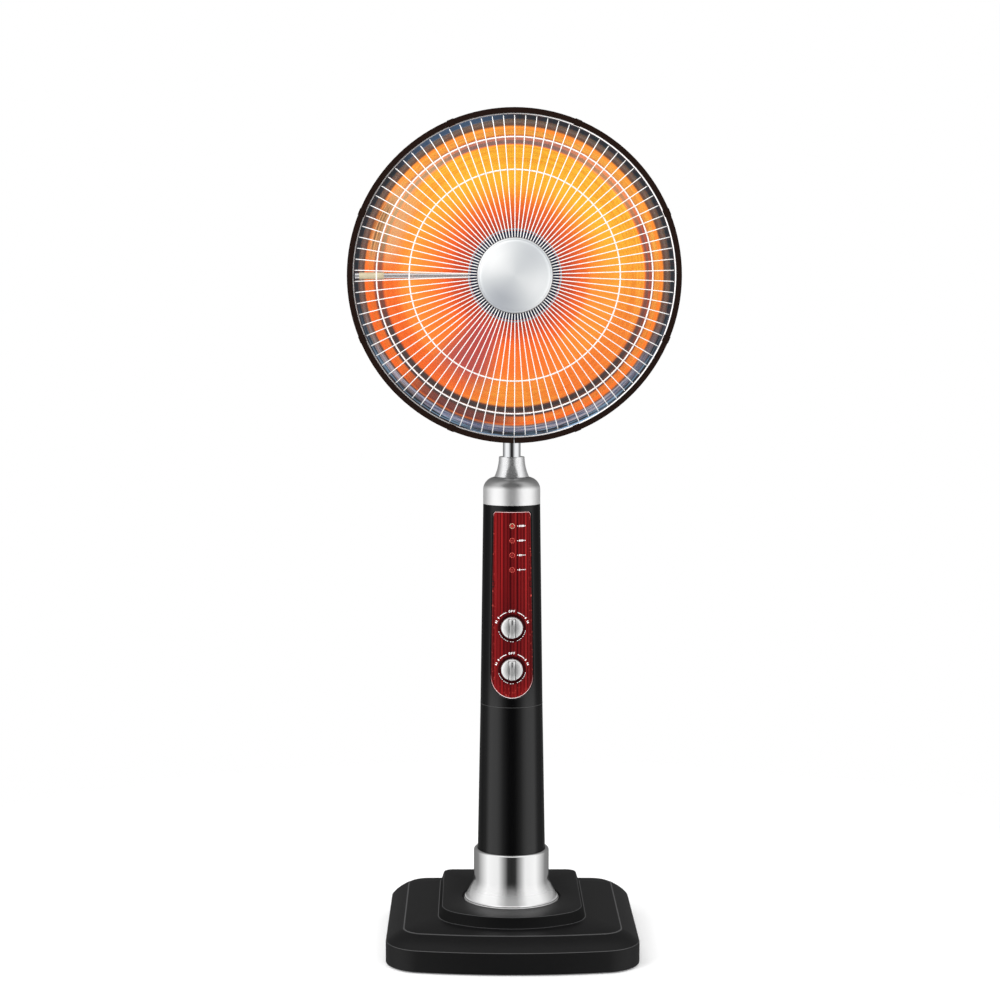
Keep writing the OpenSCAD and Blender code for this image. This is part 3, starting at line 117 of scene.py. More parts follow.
# ---------------------------------------------------------------- camera
# Fitted to the photo: place in metres, pitch in degrees, lens in millimetres, shift in picture widths
CAMERA_PLACE = (-0.045, -2.6224, 0.7893)
CAMERA_PITCH = 3.54
CAMERA_LENS = 76.95
CAMERA_SHIFT = (0.0245, -0.058)

camera = bpy.data.objects.new("camera", bpy.data.cameras.new("camera"))
bpy.context.scene.collection.objects.link(camera)
camera.location = CAMERA_PLACE
camera.rotation_euler = (radians(90 - CAMERA_PITCH), 0, 0)
camera.data.sensor_width = 36
camera.data.sensor_fit = "HORIZONTAL"
camera.data.lens = CAMERA_LENS
camera.data.shift_x, camera.data.shift_y = CAMERA_SHIFT
camera.data.clip_end = 20
bpy.context.scene.camera = camera


# ---------------------------------------------------------------- node helpers
def srgb(r, g, b):
    """Linear colour of an 8-bit display colour."""
    return tuple(
        c / 12.92 if c <= 0.04045 else ((c + 0.055) / 1.055) ** 2.4
        for c in (r / 255, g / 255, b / 255)
    ) + (1.0,)


def grey(v):
    return (v, v, v, 1.0)


class Graph:
    """Short way to build a material's or the world's node tree."""

    def __init__(self, tree):
        self.tree = tree

    def join(self, socket, value):
        """Links an output to the socket, or sets the socket to a constant."""
        if isinstance(value, bpy.types.NodeSocket):
            self.tree.links.new(value, socket)
        else:
            socket.default_value = value

    def add(self, kind, inputs=None, **settings):
        n = self.tree.nodes.new(kind)
        for key, value in settings.items():
            setattr(n, key, value)
        for key, value in (inputs or {}).items():
            self.join(n.inputs[key], value)
        return n

    def math(self, operation, a, b=0.0, clamp=False):
        return self.add("ShaderNodeMath", {0: a, 1: b}, operation=operation, use_clamp=clamp).outputs[0]

    def plus(self, a, b, clamp=False):
        return self.math("ADD", a, b, clamp)

    def minus(self, a, b, clamp=False):
        return self.math("SUBTRACT", a, b, clamp)

    def times(self, a, b, clamp=False):
        return self.math("MULTIPLY", a, b, clamp)

    def over(self, a, b, clamp=False):
        return self.math("DIVIDE", a, b, clamp)

    def length(self, a, b):
        """Length of the flat vector (a, b)."""
        return self.math("SQRT", self.plus(self.times(a, a), self.times(b, b)))

    def remap(self, value, start, end, low=0.0, high=1.0, soft=False):
        """Goes from low at start to high at end and stays there; soft eases both ends."""
        kind = "SMOOTHSTEP" if soft else "LINEAR"
        sockets = {0: value, 1: start, 2: end, 3: low, 4: high}
        return self.add("ShaderNodeMapRange", sockets, interpolation_type=kind).outputs[0]

    def ramp(self, factor, stops):
        n = self.add("ShaderNodeValToRGB", {"Fac": factor})
        elements = n.color_ramp.elements
        while len(elements) < len(stops):
            elements.new(0.5)
        for e, (place, colour) in zip(elements, stops):
            e.position = place
            e.color = colour
        return n.outputs["Color"]

    def mix(self, factor, a, b):
        return self.add("ShaderNodeMix", {0: factor, 6: a, 7: b}, data_type="RGBA").outputs[2]

    def place(self):
        """Place on the object at rest, in metres."""
        return self.add("ShaderNodeTexCoord").outputs["Object"]

    def xyz(self, vector):
        return tuple(self.add("ShaderNodeSeparateXYZ", {0: vector}).outputs)

    def vector(self, x, y, z):
        return self.add("ShaderNodeCombineXYZ", {0: x, 1: y, 2: z}).outputs[0]

    def scaled(self, vector, sx, sy, sz):
        factors = {0: vector, 1: (sx, sy, sz)}
        return self.add("ShaderNodeVectorMath", factors, operation="MULTIPLY").outputs[0]

    def noise(self, vector, scale, detail=3.0, roughness=0.55):
        sockets = {"Vector": vector, "Scale": scale, "Detail": detail, "Roughness": roughness}
        return self.add("ShaderNodeTexNoise", sockets).outputs["Fac"]

    def bump(self, height, strength, distance):
        sockets = {"Height": height, "Strength": strength, "Distance": distance}
        return self.add("ShaderNodeBump", sockets).outputs["Normal"]

    def shader(self, kind, **inputs):
        return self.add(kind, inputs).outputs[0]

    def blend(self, factor, a, b):
        """Mix of two shaders."""
        return self.add("ShaderNodeMixShader", {0: factor, 1: a, 2: b}).outputs[0]


# ---------------------------------------------------------------- world and lights
# What shiny surfaces mirror: a grey for each bearing away from the front, in degrees, alike at both sides
STUDIO = ((0, 0.02), (12, 0.03), (26, 0.38), (42, 0.90), (78, 1.0), (100, 0.62), (124, 0.24), (180, 0.16))
CEILING = 0.92
MATT_LIGHT = 0.78


def studio():
    """White to the camera, even light for matt surfaces, and painted bands for mirrors."""
    world = bpy.data.worlds.new("studio")
    world.use_nodes = True
    world.node_tree.nodes.clear()
    bpy.context.scene.world = world
    g = Graph(world.node_tree)
    x, y, z = g.xyz(g.add("ShaderNodeTexCoord").outputs["Generated"])
    bearing = g.over(g.math("ARCTAN2", g.math("ABSOLUTE", x), g.times(y, -1.0)), pi)
    bands = g.ramp(bearing, [(degree / 180, grey(v)) for degree, v in STUDIO])
    # the ceiling in front is white
    overhead = g.times(g.remap(z, 0.45, 0.80, soft=True), g.remap(bearing, 0.60, 0.42, soft=True))
    painted = g.mix(overhead, bands, grey(CEILING))
    plain = g.shader("ShaderNodeBackground", Color=grey(1.0), Strength=MATT_LIGHT)
    seen = g.shader("ShaderNodeBackground", Color=grey(1.0), Strength=1.0)
    mirrored = g.shader("ShaderNodeBackground", Color=painted, Strength=1.0)
    ray = g.add("ShaderNodeLightPath").outputs
    shiny = g.math("MAXIMUM", ray["Is Glossy Ray"], ray["Is Transmission Ray"])
    surface = g.blend(ray["Is Camera Ray"], g.blend(shiny, plain, mirrored), seen)
    g.add("ShaderNodeOutputWorld", {"Surface": surface})


def area_light(name, place, aim, width, height, power):
    light = bpy.data.lights.new(name, "AREA")
    light.shape = "RECTANGLE"
    light.size = width
    light.size_y = height
    light.energy = power
    o = bpy.data.objects.new(name, light)
    bpy.context.scene.collection.objects.link(o)
    o.location = place
    o.rotation_euler = (Vector(aim) - Vector(place)).to_track_quat("-Z", "Y").to_euler()
    o.visible_glossy = False
    o.visible_camera = False


bpy.context.scene.view_settings.view_transform = "Standard"
studio()
area_light("light_left", (-1.9, -1.7, 1.5), (0, 0, 0.55), 1.2, 1.6, 36)
area_light("light_right", (1.9, -1.7, 1.3), (0, 0, 0.5), 1.2, 1.6, 23)
area_light("light_top", (-0.3, -0.4, 2.6), (0, 0, 0.4), 1.6, 1.6, 18)

# ---------------------------------------------------------------- floor
FLOOR_R = 1.5
FLOOR_DROP = 0.4 * MM
FADE_START_R, FADE_END_R = 0.50, 1.15


def pale_floor():
    """Pale matt disc that fades out round the heater and that mirrors don't show."""
    mesh = bpy.data.meshes.new("floor")
    b = bmesh.new()
    bmesh.ops.create_circle(b, cap_ends=True, radius=FLOOR_R, segments=96)
    b.to_mesh(mesh)
    b.free()
    o = bpy.data.objects.new("floor", mesh)
    o.location = (0, 0, -FLOOR_DROP)
    bpy.context.scene.collection.objects.link(o)
    material = bpy.data.materials.new("floor")
    material.use_nodes = True
    material.node_tree.nodes.clear()
    mesh.materials.append(material)
    g = Graph(material.node_tree)
    x, y, _ = g.xyz(g.place())
    fade = g.remap(g.length(x, y), FADE_START_R, FADE_END_R, soft=True)
    speck = g.ramp(g.noise(g.place(), 420.0, 4.0), [(0.3, grey(0.90)), (0.7, grey(0.94))])
    bare = g.shader("ShaderNodeBsdfDiffuse", Color=speck)
    lift = g.shader("ShaderNodeEmission", Color=grey(1.0), Strength=0.11)
    matt = g.add("ShaderNodeAddShader", {0: bare, 1: lift}).outputs[0]
    clear = g.shader("ShaderNodeBsdfTransparent")
    gone = g.math("MAXIMUM", fade, g.add("ShaderNodeLightPath").outputs["Is Glossy Ray"])
    g.add("ShaderNodeOutputMaterial", {"Surface": g.blend(gone, matt, clear)})
    return o


floor = pale_floor()

# ---------------------------------------------------------------- materials
materials = {}


def new_material(name):
    """Returns the new material's graph and its shader."""
    m = bpy.data.materials.new(name)
    m.use_nodes = True
    materials[name] = m
    return Graph(m.node_tree), m.node_tree.nodes["Principled BSDF"]


def setup(g, shader, **values):
    """Sets or links the shader's own sockets; an underscore stands for a space."""
    for key, value in values.items():
        g.join(shader.inputs[key.replace("_", " ")], value)


def plastic(name, colour, roughness, specular, grain, depth, coat=0.0):
    """Moulded or painted surface with a fine grain of that scale and depth and slightly uneven gloss."""
    g, shader = new_material(name)
    fine = g.noise(g.place(), grain, 5.0, 0.6)
    broad = g.noise(g.place(), 14.0, 2.0)
    paler = tuple(min(1, c * 1.35 + 0.001) for c in colour[:3]) + (1,)
    setup(g, shader, Base_Color=g.mix(g.times(broad, 0.5), colour, paler),
          Roughness=g.remap(fine, 0.3, 0.7, roughness * 0.85, roughness * 1.15),
          Specular_IOR_Level=specular, Coat_Weight=coat, Coat_Roughness=0.12,
          Normal=g.bump(fine, 0.35, depth))


def metal(name, colour, roughness, grain=480.0, spread=0.25, metallic=1.0):
    """Metal with fine handling marks of that scale, which spread its gloss."""
    g, shader = new_material(name)
    marks = g.noise(g.place(), grain, 6.0, 0.65)
    darker = tuple(c * 0.8 for c in colour[:3]) + (1,)
    setup(g, shader, Base_Color=g.mix(g.times(marks, 0.16), colour, darker), Metallic=metallic,
          Roughness=g.remap(marks, 0.25, 0.75, roughness * (1 - spread), roughness * (1 + spread)),
          Normal=g.bump(marks, 0.3, 0.00001))


plastic("black_plastic", (0.0020, 0.0021, 0.0023, 1), 0.24, 0.50, 1500.0, 0.00002)
plastic("gloss_black", (0.0045, 0.0045, 0.005, 1), 0.22, 0.35, 900.0, 0.00002, coat=0.3)
plastic("base_plastic", (0.0040, 0.0040, 0.0042, 1), 0.42, 0.22, 1100.0, 0.00005)
# painted shade: a darker copy of the base plastic for the tier's wall
plastic("wall_shade", (0.0025, 0.0025, 0.0026, 1), 0.45, 0.10, 1100.0, 0.00005)
# painted highlight: thin lighter lines where the light catches edges and seams
plastic("painted_edge_highlight", (0.055, 0.055, 0.056, 1), 0.33, 0.4, 1100.0, 0.00005)
plastic("knob_shade", (0.022, 0.023, 0.025, 1), 0.35, 0.4, 900.0, 0.00002)
plastic("seam_dark", (0.006, 0.005, 0.005, 1), 0.6, 0.1, 900.0, 0.00002)
plastic("switch_plastic", (0.03, 0.03, 0.032, 1), 0.5, 0.3, 900.0, 0.00005)
plastic("nylon", (0.72, 0.69, 0.60, 1), 0.45, 0.4, 700.0, 0.00003)
plastic("rubber", (0.008, 0.008, 0.008, 1), 0.75, 0.2, 900.0, 0.00008)
plastic("black_paint", (0.010, 0.010, 0.011, 1), 0.36, 0.35, 1700.0, 0.00003)
plastic("brown_paint", (0.011, 0.0042, 0.0025, 1), 0.33, 0.35, 1400.0, 0.00003)
plastic("slate_paint", srgb(44, 50, 70), 0.40, 0.3, 1400.0, 0.00003)
plastic("ceramic", (0.80, 0.77, 0.70, 1), 0.55, 0.35, 600.0, 0.00005)
plastic("circuit_board", (0.02, 0.14, 0.05, 1), 0.4, 0.4, 800.0, 0.00003)
plastic("cast_iron", (0.05, 0.05, 0.052, 1), 0.7, 0.3, 260.0, 0.0003)
plastic("cream_sleeve", srgb(188, 178, 150), 0.40, 0.5, 700.0, 0.00003)
plastic("lamp_ring", srgb(250, 104, 92), 0.4, 0.3, 900.0, 0.00001)
plastic("lamp_glow", srgb(255, 196, 168), 0.4, 0.3, 900.0, 0.00001)

metal("zinc_steel", (0.50, 0.51, 0.53, 1), 0.38, 240.0, spread=0.35)
metal("dish_back", (0.30, 0.30, 0.31, 1), 0.45, 240.0, spread=0.35)
metal("chrome", (0.92, 0.93, 0.94, 1), 0.10)
metal("tube_chrome", (0.93, 0.94, 0.96, 1), 0.03)
metal("lead_chrome", (0.80, 0.81, 0.84, 1), 0.16, metallic=0.85)
metal("nut_chrome", (0.95, 0.95, 0.96, 1), 0.22, metallic=0.88)
metal("chromed_plastic", (0.90, 0.90, 0.92, 1), 0.20)
metal("chrome_wire", (1.0, 0.99, 0.98, 1), 0.25, 320.0, metallic=0.15)
metal("shaded_wire", (0.34, 0.40, 0.50, 1), 0.3, 320.0, metallic=0.6)


def column_black():
    """Black column and housing with painted highlights: the specular strength is raised in two upright bands
    beside the middle.
    """
    g, shader = new_material("column_black")
    x, _, z = g.xyz(g.place())
    # the tapering column's radius at that height
    radius = g.minus(44.0 * MM, g.times(z, 0.0155))
    painted_highlight_bands = g.ramp(g.over(g.math("ABSOLUTE", x), radius), [
        (0.0, grey(0.25)), (0.26, grey(0.30)), (0.46, grey(0.56)), (0.68, grey(0.56)),
        (0.78, grey(0.17)), (0.90, grey(0.09)), (1.0, grey(0.05))])
    # the painted highlight bands are weaker on the housing than on the column
    upper = g.remap(z, SEAM_Z * MM, (SEAM_Z + 45) * MM, 1.0, 0.62)
    fine = g.noise(g.place(), 1500.0, 5.0, 0.6)
    setup(g, shader, Base_Color=(0.0018, 0.0018, 0.0020, 1), Roughness=g.remap(fine, 0.3, 0.7, 0.19, 0.25),
          Specular_IOR_Level=g.times(painted_highlight_bands, upper), Normal=g.bump(fine, 0.35, 0.00002))


def collar_chrome():
    """Chrome with a painted reflection of the light floor: it turns paler down the collar's flare."""
    g, shader = new_material("collar_chrome")
    _, _, z = g.xyz(g.place())
    marks = g.noise(g.place(), 480.0, 5.0, 0.65)
    # painted reflection: less metallic, and so paler, down the flare
    body = g.remap(z, (RECESS_Z + 6.5) * MM, (FLARE_TOP_Z + 4) * MM, 0.62, 1.0, soft=True)
    setup(g, shader, Base_Color=grey(0.93), Metallic=body, Roughness=g.remap(marks, 0.25, 0.75, 0.08, 0.12))


def cap_chrome():
    """Satin chrome of the dome cap, painted darker up its shoulder as a painted reflection of the darker
    head above it.
    """
    g, shader = new_material("cap_chrome")
    _, _, z = g.xyz(g.place())
    marks = g.noise(g.place(), 480.0, 5.0, 0.65)
    height = g.over(g.minus(z, (HOUSING_TOP_Z - 0.4) * MM), 34 * MM, clamp=True)
    # painted reflection: white low down, darker up the shoulder
    tint = g.ramp(height, [
        (0.0, grey(0.97)), (0.60, grey(0.97)), (0.72, grey(0.50)), (0.90, grey(0.42)), (1.0, grey(0.30))])
    setup(g, shader, Base_Color=tint, Metallic=0.80, Roughness=g.remap(marks, 0.25, 0.75, 0.27, 0.35))


def knob_plastic():
    """Spun silver of the knobs with painted light: a painted highlight white at the edge and greyer beside
    the grip, and painted shade to the right.
    """
    g, shader = new_material("knob_plastic")
    x, _, z = g.xyz(g.place())
    # both knobs at once: the height above or below the middle between them
    middle = sum(KNOBS.values()) / 2
    up = g.minus(g.math("ABSOLUTE", g.minus(z, middle * MM)), (KNOBS["heat_knob"] - middle) * MM)
    painted_lobe_highlight = g.ramp(g.over(g.length(x, up), KNOB_R * MM, clamp=True), [
        (0.0, grey(0.42)), (0.34, grey(0.40)), (0.60, grey(0.62)), (0.84, grey(0.80)), (1.0, grey(1.0))])
    # painted shade: greyer towards the right
    side = g.remap(x, -10 * MM, 12 * MM, 0.0, 0.35)
    setup(g, shader, Base_Color=g.mix(side, painted_lobe_highlight, grey(0.40)), Metallic=0.45, Roughness=0.2)


# share of the panel's width from the left, and the colour there
PANEL_STRIPES = (
    (0.00, (40, 8, 10)), (0.07, (134, 20, 22)), (0.13, (154, 30, 31)), (0.18, (108, 16, 18)),
    (0.25, (146, 26, 27)), (0.31, (92, 14, 17)), (0.38, (124, 22, 24)), (0.44, (80, 12, 15)),
    (0.50, (92, 14, 17)), (0.56, (136, 28, 28)), (0.62, (88, 14, 17)), (0.69, (124, 21, 23)),
    (0.76, (102, 16, 18)), (0.83, (146, 31, 31)), (0.89, (116, 20, 22)), (0.95, (118, 20, 22)),
    (1.00, (30, 8, 10)),
)


def panel_red():
    """Clear dark red plastic over ribs with a faint painted glow: uneven stripes, a dark line at each rib,
    painted shade in the wells, a painted highlight on the foot.
    """
    g, shader = new_material("panel_red")
    p = g.place()
    x, _, z = g.xyz(p)
    beside = g.math("ABSOLUTE", x)
    painted_well_shade = srgb(44, 6, 9)
    across = g.plus(g.over(x, PANEL_W * MM), 0.5, clamp=True)
    stripes = g.ramp(across, [(share, srgb(*c)) for share, c in PANEL_STRIPES])
    wander = g.noise(g.scaled(p, 420.0, 30.0, 6.0), 1.0, 4.0)
    tint = g.mix(g.remap(wander, 0.42, 0.72, 0.0, 0.75), stripes, srgb(62, 4, 8))
    # ribs
    rib = g.math("FRACT", g.over(g.plus(x, 50 * MM), RIB_PITCH * MM))
    from_rib = g.math("ABSOLUTE", g.minus(rib, 0.5))
    tint = g.mix(g.remap(from_rib, 0.22, 0.04, 0.0, 0.8), tint, srgb(46, 3, 6))
    # painted highlight on the rounded foot, painted shade along the long edges, and painted specks of light
    # on both
    edge = g.remap(beside, 19.5 * MM, 23.5 * MM)
    foot = g.remap(z, (PANEL_FOOT_Z + 22) * MM, (PANEL_FOOT_Z + 2) * MM)
    tint = g.mix(g.times(foot, 0.25), tint, srgb(168, 26, 26))
    tint = g.mix(g.times(edge, 0.35), tint, srgb(84, 8, 10))
    speck = g.remap(g.noise(g.scaled(p, 700.0, 200.0, 420.0), 1.0, 2.0), 0.64, 0.70)
    tint = g.mix(g.times(speck, g.math("MAXIMUM", edge, foot)), tint, srgb(232, 96, 84))
    # painted shade round the knobs, darkest in their wells
    above_knobs = KNOBS["heat_knob"] + 46
    tint = g.mix(g.remap(z, above_knobs * MM, (above_knobs - 30) * MM, 0.0, 0.22), tint, painted_well_shade)
    for knob_z in KNOBS.values():
        from_axis = g.length(x, g.minus(z, knob_z * MM))
        tint = g.mix(g.times(g.remap(from_axis, 18.2 * MM, 17.2 * MM), 0.85), tint, painted_well_shade)
    setup(g, shader, Base_Color=tint, Roughness=0.34, Specular_IOR_Level=0.07, Emission_Color=tint,
          Emission_Strength=0.26, Normal=g.bump(wander, 0.15, 0.0001))


def panel_edge():
    """Panel's edge with a glowing painted highlight where it faces the light above and at its rounded foot,
    dark red at the sides.
    """
    g, shader = new_material("panel_edge")
    _, _, z = g.xyz(g.place())
    spare = 2
    low, high = PANEL_FOOT_Z - spare, PANEL_TOP_Z + spare
    height = g.over(g.minus(z, low * MM), (high - low) * MM, clamp=True)
    tint = g.ramp(height, [
        (0.0, srgb(250, 244, 244)), (0.07, srgb(226, 176, 176)), (0.13, srgb(60, 8, 10)),
        (0.965, srgb(56, 8, 10)), (0.985, srgb(236, 190, 190)), (1.0, srgb(240, 210, 210))])
    setup(g, shader, Base_Color=tint, Roughness=0.25, Emission_Color=tint, Emission_Strength=0.35)


def white_print():
    """Printed marks, with a little glow that keeps them white in the panel's shade."""
    g, shader = new_material("white_print")
    ink = g.ramp(g.noise(g.place(), 900.0), [(0.3, grey(0.84)), (0.7, grey(0.94))])
    setup(g, shader, Base_Color=ink, Roughness=0.5, Specular_IOR_Level=0.3, Emission_Color=grey(1.0),
          Emission_Strength=0.35)


def lamp_lens():
    """Small red lenses, of which the top one is lit and brighter."""
    g, shader = new_material("lamp_lens")
    _, _, z = g.xyz(g.place())
    top = g.remap(z, (LAMPS[-1] - 10) * MM, (LAMPS[-1] - 4) * MM)
    tint = g.mix(top, srgb(120, 14, 16), srgb(160, 34, 28))
    setup(g, shader, Base_Color=tint, Roughness=0.2, Emission_Color=tint, Emission_Strength=0.4)


def rim_wire():
    """Outermost ring wire with a glowing painted highlight: dull at the left and white at the right."""
    g, shader = new_material("rim_wire")
    x, _, _ = g.xyz(g.place())
    lit = g.remap(x, -20 * MM, 110 * MM, soft=True)
    setup(g, shader, Base_Color=g.mix(lit, grey(0.50), grey(1.0)), Roughness=0.3, Metallic=0.1,
          Emission_Color=g.mix(lit, grey(0.0), grey(0.5)), Emission_Strength=1.0)


def cap_metal():
    """Satin hub cap: faint circular brushing, the two pale fans of a turned face as a painted sheen, painted
    light from above, painted shade at the edge and a faint painted glow.
    """
    g, shader = new_material("cap_metal")
    x, _, z = g.xyz(g.place())
    up = g.minus(z, HEAD_Z * MM)
    r = g.length(x, up)
    bearing = g.math("ARCTAN2", up, x)
    brush = g.noise(g.vector(g.times(r, 2600.0), 0.0, 0.0), 1.0, 3.0)
    # painted sheen: two pale fans across the face, and painted light from above
    fan_sheen = g.math("COSINE", g.times(g.minus(bearing, radians(147)), 2.0))
    light_from_above = g.math("COSINE", g.minus(bearing, radians(95)))
    sheen = g.plus(g.times(fan_sheen, 0.346), g.times(light_from_above, 0.191))
    lit = g.plus(g.times(sheen, g.remap(r, 0.0, 28 * MM)), 0.53, clamp=True)
    tint = g.ramp(lit, [(0.0, srgb(170, 174, 180)), (0.5, srgb(205, 208, 210)), (1.0, srgb(240, 241, 241))])
    # painted shade at the cap's edge
    edge = g.remap(r, (HUB_CAP_R - 1.1) * MM, (HUB_CAP_R - 0.3) * MM)
    tint = g.mix(edge, tint, srgb(92, 84, 80))
    setup(g, shader, Base_Color=tint, Metallic=0.35, Roughness=0.38, Specular_IOR_Level=0.4,
          Emission_Color=tint, Emission_Strength=0.12, Normal=g.bump(brush, 0.12, 0.00003))


def coil_metal():
    """Red-hot coil, a little cooler towards its two ends."""
    g, shader = new_material("coil_metal")
    _, y, _ = g.xyz(g.place())
    u = g.minus(COLUMN_Y * MM, y)
    along = g.over(g.minus(u, COIL_START_U * MM), COIL_LENGTH * MM, clamp=True)
    glow = g.ramp(along, [
        (0.0, srgb(190, 60, 20)), (0.12, srgb(255, 140, 50)), (0.88, srgb(255, 150, 60)),
        (1.0, srgb(200, 70, 25))])
    setup(g, shader, Base_Color=srgb(150, 70, 40), Roughness=0.6, Emission_Color=glow, Emission_Strength=1.6)


# radius on the dish and the painted reflection of the glow and the studio there: bowl, bead, outer band,
# steep edge and flange
DISH_REFLECTED_COLOURS = (
    (16, (90, 44, 40)), (44, (118, 54, 46)), (56, (150, 70, 54)), (70, (186, 92, 64)),
    (80, (220, 118, 64)), (98, (238, 150, 68)), (122, (242, 174, 78)), (144, (242, 168, 76)),
    (153.5, (246, 184, 86)), (155.4, (196, 124, 90)), (157.0, (140, 104, 100)),
    (162.2, (128, 98, 96)), (164.2, (206, 130, 74)), (166, (250, 190, 90)), (173.4, (246, 180, 82)),
    (174.8, (94, 82, 78)), (176.4, (88, 88, 88)), (178.4, (106, 112, 114)), (180.2, (72, 82, 88)),
    (182.0, (60, 68, 74)), (190, (60, 66, 72)),
)
# painted reflection patches: bearing anticlockwise from the right and half width in degrees, strength,
# colour, and the radii between which the patch comes in and goes out
BOWL_PATCHES = (
    # yellow above
    (72, 100, 1.1, (252, 210, 72), 84, 122, 153, 155),
    # redder below, with two yellow patches there
    (268, 100, 0.80, (232, 132, 64), 60, 110, 153, 156),
    (335, 46, 0.55, (246, 184, 80), 86, 96, 116, 130),
    (270, 28, 0.60, (226, 176, 76), 112, 136, 153, 156),
    # redder at the left, on the outer band below, and violet at the lower left
    (205, 50, 0.80, (226, 108, 56), 128, 144, 173, 175),
    (268, 110, 0.80, (232, 126, 62), 162, 165, 173, 175),
    (241, 22, 0.85, (150, 82, 98), 50, 76, 118, 156),
)
EDGE_PATCHES = (
    # dark at the lower left
    (247, 30, 1.0, (112, 76, 74), 152, 162, 172, 175),
    # the bead: pale at both upper sides, slate in the lower half
    (90, 62, 1.0, (168, 132, 124), 153.6, 156, 162, 164.4),
    (45, 26, 0.75, (226, 170, 120), 152, 156, 162, 166),
    (140, 30, 0.75, (226, 186, 136), 152, 156, 162, 166),
    (262, 128, 1.25, (84, 74, 74), 151.8, 155.4, 163.0, 166),
    # the steep edge: pale at the lower left, blue below
    (222, 34, 1.0, (112, 122, 122), 175.6, 177.6, 180.0, 181.8),
    (282, 64, 1.5, (84, 116, 152), 175.6, 177.6, 180.0, 181.8),
)


def reflector_metal():
    """Polished dish lit from inside by the element, whose glow is painted on as reflection and emission: the
    colour changes with the radius and the bearing.
    """
    g, shader = new_material("reflector_metal")
    x, _, z = g.xyz(g.place())
    up = g.minus(z, HEAD_Z * MM)
    r = g.length(x, up)
    turn = g.math("ARCTAN2", up, x)

    def zone(start, full, full_end, end):
        """1 between two radii, soft at both sides."""
        rise = g.remap(r, start * MM, full * MM, soft=True)
        return g.times(rise, g.remap(r, end * MM, full_end * MM, soft=True))

    def toward(bearing, width, strength):
        """Soft patch round a bearing."""
        a = radians(bearing)
        along = g.over(g.plus(g.times(x, cos(a)), g.times(up, sin(a))), r)
        return g.remap(along, cos(radians(width)), 1.0, 0.0, strength, soft=True)

    def tinted(base, mask, colour, *radii):
        return g.mix(g.times(mask, zone(*radii), clamp=True), base, srgb(*colour))

    def patched(base, patches):
        for bearing, width, strength, colour, *radii in patches:
            base = tinted(base, toward(bearing, width, strength), colour, *radii)
        return base

    def polar(around, outward):
        """Texture place that moves round with the bearing and out with the radius."""
        return g.vector(g.times(g.math("COSINE", turn), around), g.times(g.math("SINE", turn), around),
                        g.times(r, outward))

    base = g.ramp(g.over(r, DISH_R * MM), [(radius / DISH_R, srgb(*c)) for radius, c in DISH_REFLECTED_COLOURS])
    base = patched(base, BOWL_PATCHES)
    # fine radial streaks near the hub, painted into the reflection
    streak = g.noise(polar(30.0, 14.0), 1.6, 5.0, 0.7)
    near = g.remap(r, 55 * MM, 150 * MM, 0.9, 0.22)
    dark = g.times(g.minus(0.58, streak, clamp=True), g.times(near, 1.6), clamp=True)
    base = g.mix(dark, base, srgb(176, 62, 42))
    # painted dark and bright streaks of reflection round the axis further out, and a painted pale haze at
    # the left
    loop = g.noise(polar(2.4, 520.0), 1.0, 4.0, 0.6)
    low = g.remap(loop, 0.60, 0.42)
    peak = g.remap(loop, 0.47, 0.60)
    base = tinted(base, g.times(low, 0.34), (214, 96, 36), 120, 142, 173, 175)
    base = tinted(base, toward(157, 21, 0.85), (214, 178, 132), 132, 148, 171, 175)
    base = tinted(base, g.times(low, toward(160, 15, 0.8)), (104, 80, 60), 150, 166, 173, 176)
    base = patched(base, EDGE_PATCHES)
    # painted reflections: pale lines below and a blue sheen at the upper left of the flange
    base = tinted(base, g.times(peak, toward(268, 84, 1.5)), (150, 182, 212), 174, 177, 189, 191)
    base = tinted(base, toward(113, 26, 0.7), (98, 126, 160), 179, 182, 189, 191)
    gloss = g.remap(g.noise(g.place(), 260.0, 4.0), 0.3, 0.7, 0.20, 0.34)
    setup(g, shader, Base_Color=base, Metallic=1.0, Roughness=gloss, Emission_Color=base,
          Emission_Strength=0.53, Normal=g.bump(streak, 0.10, 0.0002))


for make in (column_black, collar_chrome, cap_chrome, knob_plastic, panel_red, panel_edge, white_print,
             lamp_lens, rim_wire, cap_metal, coil_metal, reflector_metal):
    make()

# the solids wear their slot's material, apart from a few with their own
slots = {p["node"]: p["material_slot"] for p in frame["record"]["subparts"]}
own_looks = {"lower_column": "column_black", "housing_front": "column_black",
             "housing_rear": "column_black", "hub_plate": "slate_paint"}
for name, obj in nodes.items():
    obj.data.materials.clear()
    obj.data.materials.append(materials[own_looks.get(name, slots[name])])
    obj.data.shade_smooth()
    obj.data.set_sharp_from_angle(angle=radians(28))

# ---------------------------------------------------------------- mesh helpers
# points closer than the first are merged, and edges shorter than the second are dissolved
SAME_POINT, NO_LENGTH = 0.002 * MM, 0.0005 * MM


